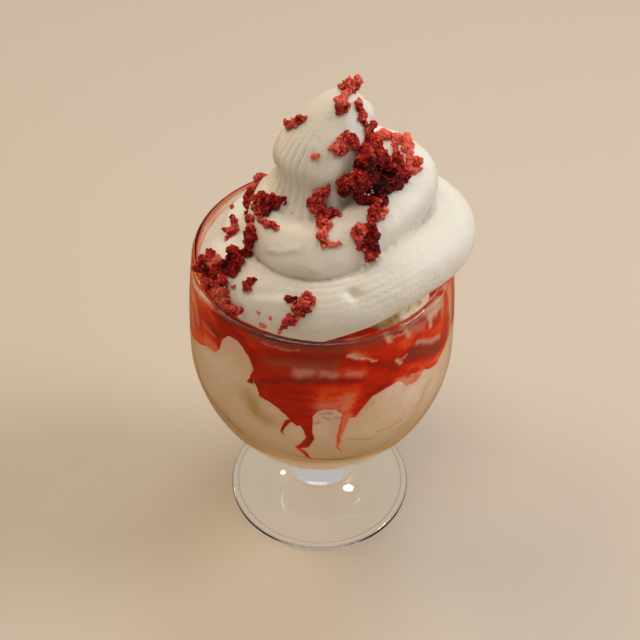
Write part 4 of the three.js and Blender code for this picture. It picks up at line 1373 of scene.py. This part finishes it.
def grain_tree():
    """Geometry Nodes that cover a clump with angular grains, each with its own tone."""
    tree = bpy.data.node_groups.new("crumb_grains", "GeometryNodeTree")
    tree.interface.new_socket("Geometry", in_out="INPUT", socket_type="NodeSocketGeometry")
    for name in ("Density", "Smallest", "Largest"):
        tree.interface.new_socket(name, in_out="INPUT", socket_type="NodeSocketFloat")
    tree.interface.new_socket("Seed", in_out="INPUT", socket_type="NodeSocketInt")
    tree.interface.new_socket("Finish", in_out="INPUT", socket_type="NodeSocketMaterial")
    tree.interface.new_socket("Geometry", in_out="OUTPUT", socket_type="NodeSocketGeometry")
    given = tree.nodes.new("NodeGroupInput").outputs
    result = tree.nodes.new("NodeGroupOutput")
    spread = node(tree, "GeometryNodeDistributePointsOnFaces", {
        "Mesh": given["Geometry"], "Density": given["Density"], "Seed": given["Seed"],
    })
    tone = node(tree, "GeometryNodeInputNamedAttribute", {"Name": "tone"}, data_type="FLOAT")
    change = node(tree, "FunctionNodeRandomValue", {2: -0.22, 3: 0.3, "Seed": 3}, data_type="FLOAT")
    own_tone = maths(tree, "ADD", tone.outputs["Attribute"], change.outputs[1])
    toned = node(tree, "GeometryNodeStoreNamedAttribute", {
        "Geometry": spread.outputs["Points"], "Name": "tone", "Value": own_tone,
    }, data_type="FLOAT", domain="POINT")
    grain = node(tree, "GeometryNodeMeshIcoSphere", {"Radius": 1.0, "Subdivisions": 1})
    turn = node(tree, "FunctionNodeRandomValue", {0: (0, 0, 0), 1: (6.28, 6.28, 6.28), "Seed": 1},
                data_type="FLOAT_VECTOR")
    size = node(tree, "FunctionNodeRandomValue", {2: given["Smallest"], 3: given["Largest"], "Seed": 2},
                data_type="FLOAT")
    stretch = node(tree, "FunctionNodeRandomValue", {0: (0.6, 0.6, 0.6), 1: (1.3, 1.3, 1.3), "Seed": 4},
                   data_type="FLOAT_VECTOR")
    scale = node(tree, "ShaderNodeVectorMath", {0: stretch.outputs[0]}, operation="SCALE")
    tree.links.new(size.outputs[1], scale.inputs["Scale"])
    placed = node(tree, "GeometryNodeInstanceOnPoints", {
        "Points": toned.outputs["Geometry"], "Instance": grain.outputs["Mesh"],
        "Rotation": turn.outputs[0], "Scale": scale.outputs[0],
    })
    real = node(tree, "GeometryNodeRealizeInstances", {"Geometry": placed.outputs["Instances"]})
    both = tree.nodes.new("GeometryNodeJoinGeometry")
    tree.links.new(given["Geometry"], both.inputs[0])
    tree.links.new(real.outputs["Geometry"], both.inputs[0])
    finished = node(tree, "GeometryNodeSetMaterial", {
        "Geometry": both.outputs["Geometry"], "Material": given["Finish"],
    })
    tree.links.new(finished.outputs["Geometry"], result.inputs["Geometry"])
    return tree


def make_crumbs(name, strokes, seed, tree, material, node_name, surface):
    """A clump of crumb from strokes: angular chunks fused together, pitted with
    pores and covered with grains."""
    random = np.random.default_rng(seed)
    parts = []
    centres = []
    dryness = []
    for dry, lumps in strokes:
        for centre, half in lumps:
            for _ in range(CHUNKS):
                spot = centre + random.normal(size=3) * half * 0.33
                parts.append(chunk(random, spot, half * random.uniform(0.5, 0.85)))
                centres.append(spot)
                dryness.append(dry)
    piece = fused(name + "_core", *joined(parts), CRUMB_VOXEL, 0)
    mesh = piece.data
    points = mesh_points(mesh)
    pores = np.maximum(0, noise(points, 1.5, seed, 2))
    relief = 0.08 - 0.6 * pores + 0.2 * noise(points, 0.6, seed + 3, 1)
    points = points + mesh_normals(mesh) * relief[:, None]
    move_points(mesh, points)
    tree_of_lumps = KDTree(len(centres))
    for number, centre in enumerate(centres):
        tree_of_lumps.insert(centre, number)
    tree_of_lumps.balance()
    dry = np.array([dryness[tree_of_lumps.find(point)[1]] for point in points])
    # Painted shade and highlight: the tone is lower in pores and pits and higher on tips, as light would
    # fall on them
    tone = dry + 0.3 * noise(points, 3, seed + 7, 2) - 0.5 * pores
    tone += 2 * hollowness(mesh, points, mesh_normals(mesh))
    reach, ray = seen_on(surface, WET_SPOT["x"], WET_SPOT["y"], 0)
    away = np.linalg.norm(np.cross(points - (EYE + ray * reach), ray), axis=1)
    tone -= WET_SPOT["depth"] * np.exp(-(away / WET_SPOT["radius"]) ** 2)
    set_values(piece, "tone", tone)
    cover = piece.modifiers.new("grains", "NODES")
    cover.node_group = tree
    values = {
        "Density": GRAINS["density"] / MM ** 2,
        "Smallest": GRAINS["smallest"] * MM,
        "Largest": GRAINS["largest"] * MM,
        "Seed": seed,
        "Finish": material,
    }
    for socket in tree.interface.items_tree:
        if socket.name in values:
            cover[socket.identifier] = values[socket.name]
    piece = with_modifiers(piece, name)
    finish_piece(piece, material, "cake_crumb", node_name)


def make_all_crumbs(cream):
    surface = surface_of(cream)
    material = crumb_material()
    tree = grain_tree()
    for number, (clump, strokes) in enumerate(CLUMPS.items()):
        lumps = [(dry, stroke_lumps(surface, stroke)) for dry, stroke in strokes]
        make_crumbs(clump + "_crumb", lumps, 11 + 7 * number, tree, material, clump, surface)
    loose = [(dry, stroke_lumps(surface, stroke)) for dry, stroke in LOOSE_CRUMBS]
    for x, y, half in BACK_CRUMBS:
        top, _, _, _ = surface.ray_cast(Vector((x * MM, y * MM, 1)), Vector((0, 0, -1)))
        loose.append((0.6, [(np.array([x, y, top.z / MM + half * 0.3]), half)]))
    make_crumbs("loose_crumbs", loose, 71, tree, material, "whipped_cream", surface)
    make_sugar(surface)


def make_sugar(surface):
    """Sugar crystals that glint on the wet crumb."""
    random = np.random.default_rng(SUGAR["count"])
    parts = []
    for _ in range(SUGAR["count"]):
        x = SUGAR["x"] + SUGAR["across"] * random.uniform(-1, 1)
        y = SUGAR["y"] + SUGAR["down"] * random.uniform(-1, 1)
        reach, ray = seen_on(surface, x, y, 4.2)
        parts.append(chunk(random, EYE + ray * reach, SUGAR["size"] * random.uniform(0.7, 1.4)))
    points, faces = joined(parts)
    piece = make_object("sugar_crystals", points, faces)
    piece.data.polygons.foreach_set("use_smooth", [False] * len(piece.data.polygons))
    material, shader, _ = new_material("sugar")
    shader.inputs["Base Color"].default_value = (0.75, 0.5, 0.5, 1)
    shader.inputs["Roughness"].default_value = 0.1
    finish_piece(piece, material, "cake_crumb")


def crumb_material():
    """Red cake crumb: dark and wet where the tone is low, pale and dry where it is high.
    Its tone also holds painted shade in pits and painted highlights on tips.
    """
    material, shader, place = new_material("cake_crumb")
    tree = material.node_tree
    speckle = noise_mask(tree, place, 0.8, 3, 0.3, 0.7)
    share = maths(tree, "MULTIPLY_ADD", speckle, 0.25, stored(tree, "tone"))
    tree.links.new(ramp_colour(tree, share, CRUMB_RAMP), shader.inputs["Base Color"])
    tree.links.new(ranged(tree, share, -0.3, 0.35, 0.2, 0.75), shader.inputs["Roughness"])
    shader.inputs["Specular IOR Level"].default_value = 0.14
    shader.inputs["Subsurface Weight"].default_value = 0.2
    shader.inputs["Subsurface Radius"].default_value = (0.0016, 0.0005, 0.0004)
    bump(tree, speckle, 0.12, shader)
    return material


# Stage

def mirrored(tree):
    """1 for what shows by reflection in something glossy, otherwise 0."""
    path = tree.nodes.new("ShaderNodeLightPath").outputs
    return maths(tree, "MULTIPLY", path["Is Glossy Ray"], path["Is Reflection Ray"])


def make_stage():
    bpy.ops.mesh.primitive_plane_add(size=6, location=(0, 0, -FLOOR_GAP * MM))
    floor = bpy.context.object
    floor.name = "floor"
    material, shader, place = new_material("floor")
    tree = material.node_tree
    mirror = mirrored(tree)
    colour = mix_colour(tree, mirror, FLOOR_COLOUR, FLOOR_MIRRORED)
    tree.links.new(colour, shader.inputs["Base Color"])
    shader.inputs["Roughness"].default_value = 0.8
    away = node(tree, "ShaderNodeVectorMath", {0: place}, operation="LENGTH")
    far = ranged(tree, away.outputs["Value"], FAR_FLOOR[0] * MM, FAR_FLOOR[1] * MM)
    path = tree.nodes.new("ShaderNodeLightPath").outputs
    unlit = maths(tree, "ADD", mirror, path["Is Diffuse Ray"])
    even = node(tree, "ShaderNodeEmission", {"Color": (*BACKDROP, 1), "Strength": 1.0})
    through = maths(tree, "MULTIPLY", path["Is Transmission Ray"], THROUGH_GLASS)
    share = maths(tree, "MAXIMUM", far, through)
    share = maths(tree, "MULTIPLY", share, maths(tree, "SUBTRACT", 1.0, unlit))
    surface = node(tree, "ShaderNodeMixShader", {
        0: share, 1: shader.outputs["BSDF"], 2: even.outputs["Emission"],
    })
    tree.links.new(surface.outputs["Shader"], tree.nodes["Material Output"].inputs["Surface"])
    floor.data.materials.append(material)


def add_light(name, azimuth, height, distance, size, power, colour):
    lamp = bpy.data.lights.new(name, "AREA")
    lamp.shape = "ELLIPSE"
    lamp.size = size[0] * MM
    lamp.size_y = size[1] * MM
    lamp.energy = power
    lamp.color = colour
    item = bpy.data.objects.new(name, lamp)
    bpy.context.scene.collection.objects.link(item)
    turn = math.radians(azimuth)
    tilt = math.radians(height)
    away = Vector((math.cos(turn) * math.cos(tilt), math.sin(turn) * math.cos(tilt), math.sin(tilt)))
    item.location = (Vector(LIGHT_AIM) + away * distance) * MM
    item.rotation_mode = "QUATERNION"
    item.rotation_quaternion = (-away).to_track_quat("-Z", "Y")
    return item


def make_lights():
    for name, (azimuth, height, distance, width, power, colour) in SOFT_LIGHTS.items():
        item = add_light(name, azimuth, height, distance, (width, width), power, colour)
        item.visible_camera = False
        item.visible_glossy = False
        item.visible_transmission = False
    for name, (azimuth, height, width, length, power, colour) in GLINTS.items():
        item = add_light(name, azimuth, height, GLINT_DISTANCE, (width, length), power, colour)
        item.visible_diffuse = False
    world = bpy.data.worlds.new("studio")
    bpy.context.scene.world = world
    world.use_nodes = True
    tree = world.node_tree
    path = tree.nodes.new("ShaderNodeLightPath").outputs
    colour = mix_colour(tree, mirrored(tree), WORLD["lighting"], WORLD["reflected"])
    generated = tree.nodes.new("ShaderNodeTexCoord").outputs["Generated"]
    direction = node(tree, "ShaderNodeSeparateXYZ", {0: generated})
    steep = ranged(tree, direction.outputs["Z"], *OVERHEAD)
    above = mix_colour(tree, steep, BACKDROP, WORLD["overhead"])
    colour = mix_colour(tree, path["Is Transmission Ray"], colour, above)
    colour = mix_colour(tree, path["Is Camera Ray"], colour, BACKDROP)
    tree.links.new(colour, tree.nodes["Background"].inputs["Color"])


def make_camera():
    data = bpy.data.cameras.new("camera")
    data.sensor_width = 36
    data.lens = CAMERA["focal"] * data.sensor_width
    data.clip_start = 0.01
    camera = bpy.data.objects.new("camera", data)
    bpy.context.scene.collection.objects.link(camera)
    place = Matrix.Identity(4)
    for column, axis in enumerate(camera_axes()):
        for row in range(3):
            place[row][column] = axis[row]
    place.translation = Vector(EYE * MM)
    camera.matrix_world = place
    bpy.context.scene.camera = camera


make_camera()
make_glass()
make_melted()
make_ice_cream()
make_sauce()
make_upper_scoop()
make_all_crumbs(make_cream())
make_stage()
make_lights()

scene = bpy.context.scene
scene.view_settings.view_transform = "Standard"
scene.view_settings.look = "None"
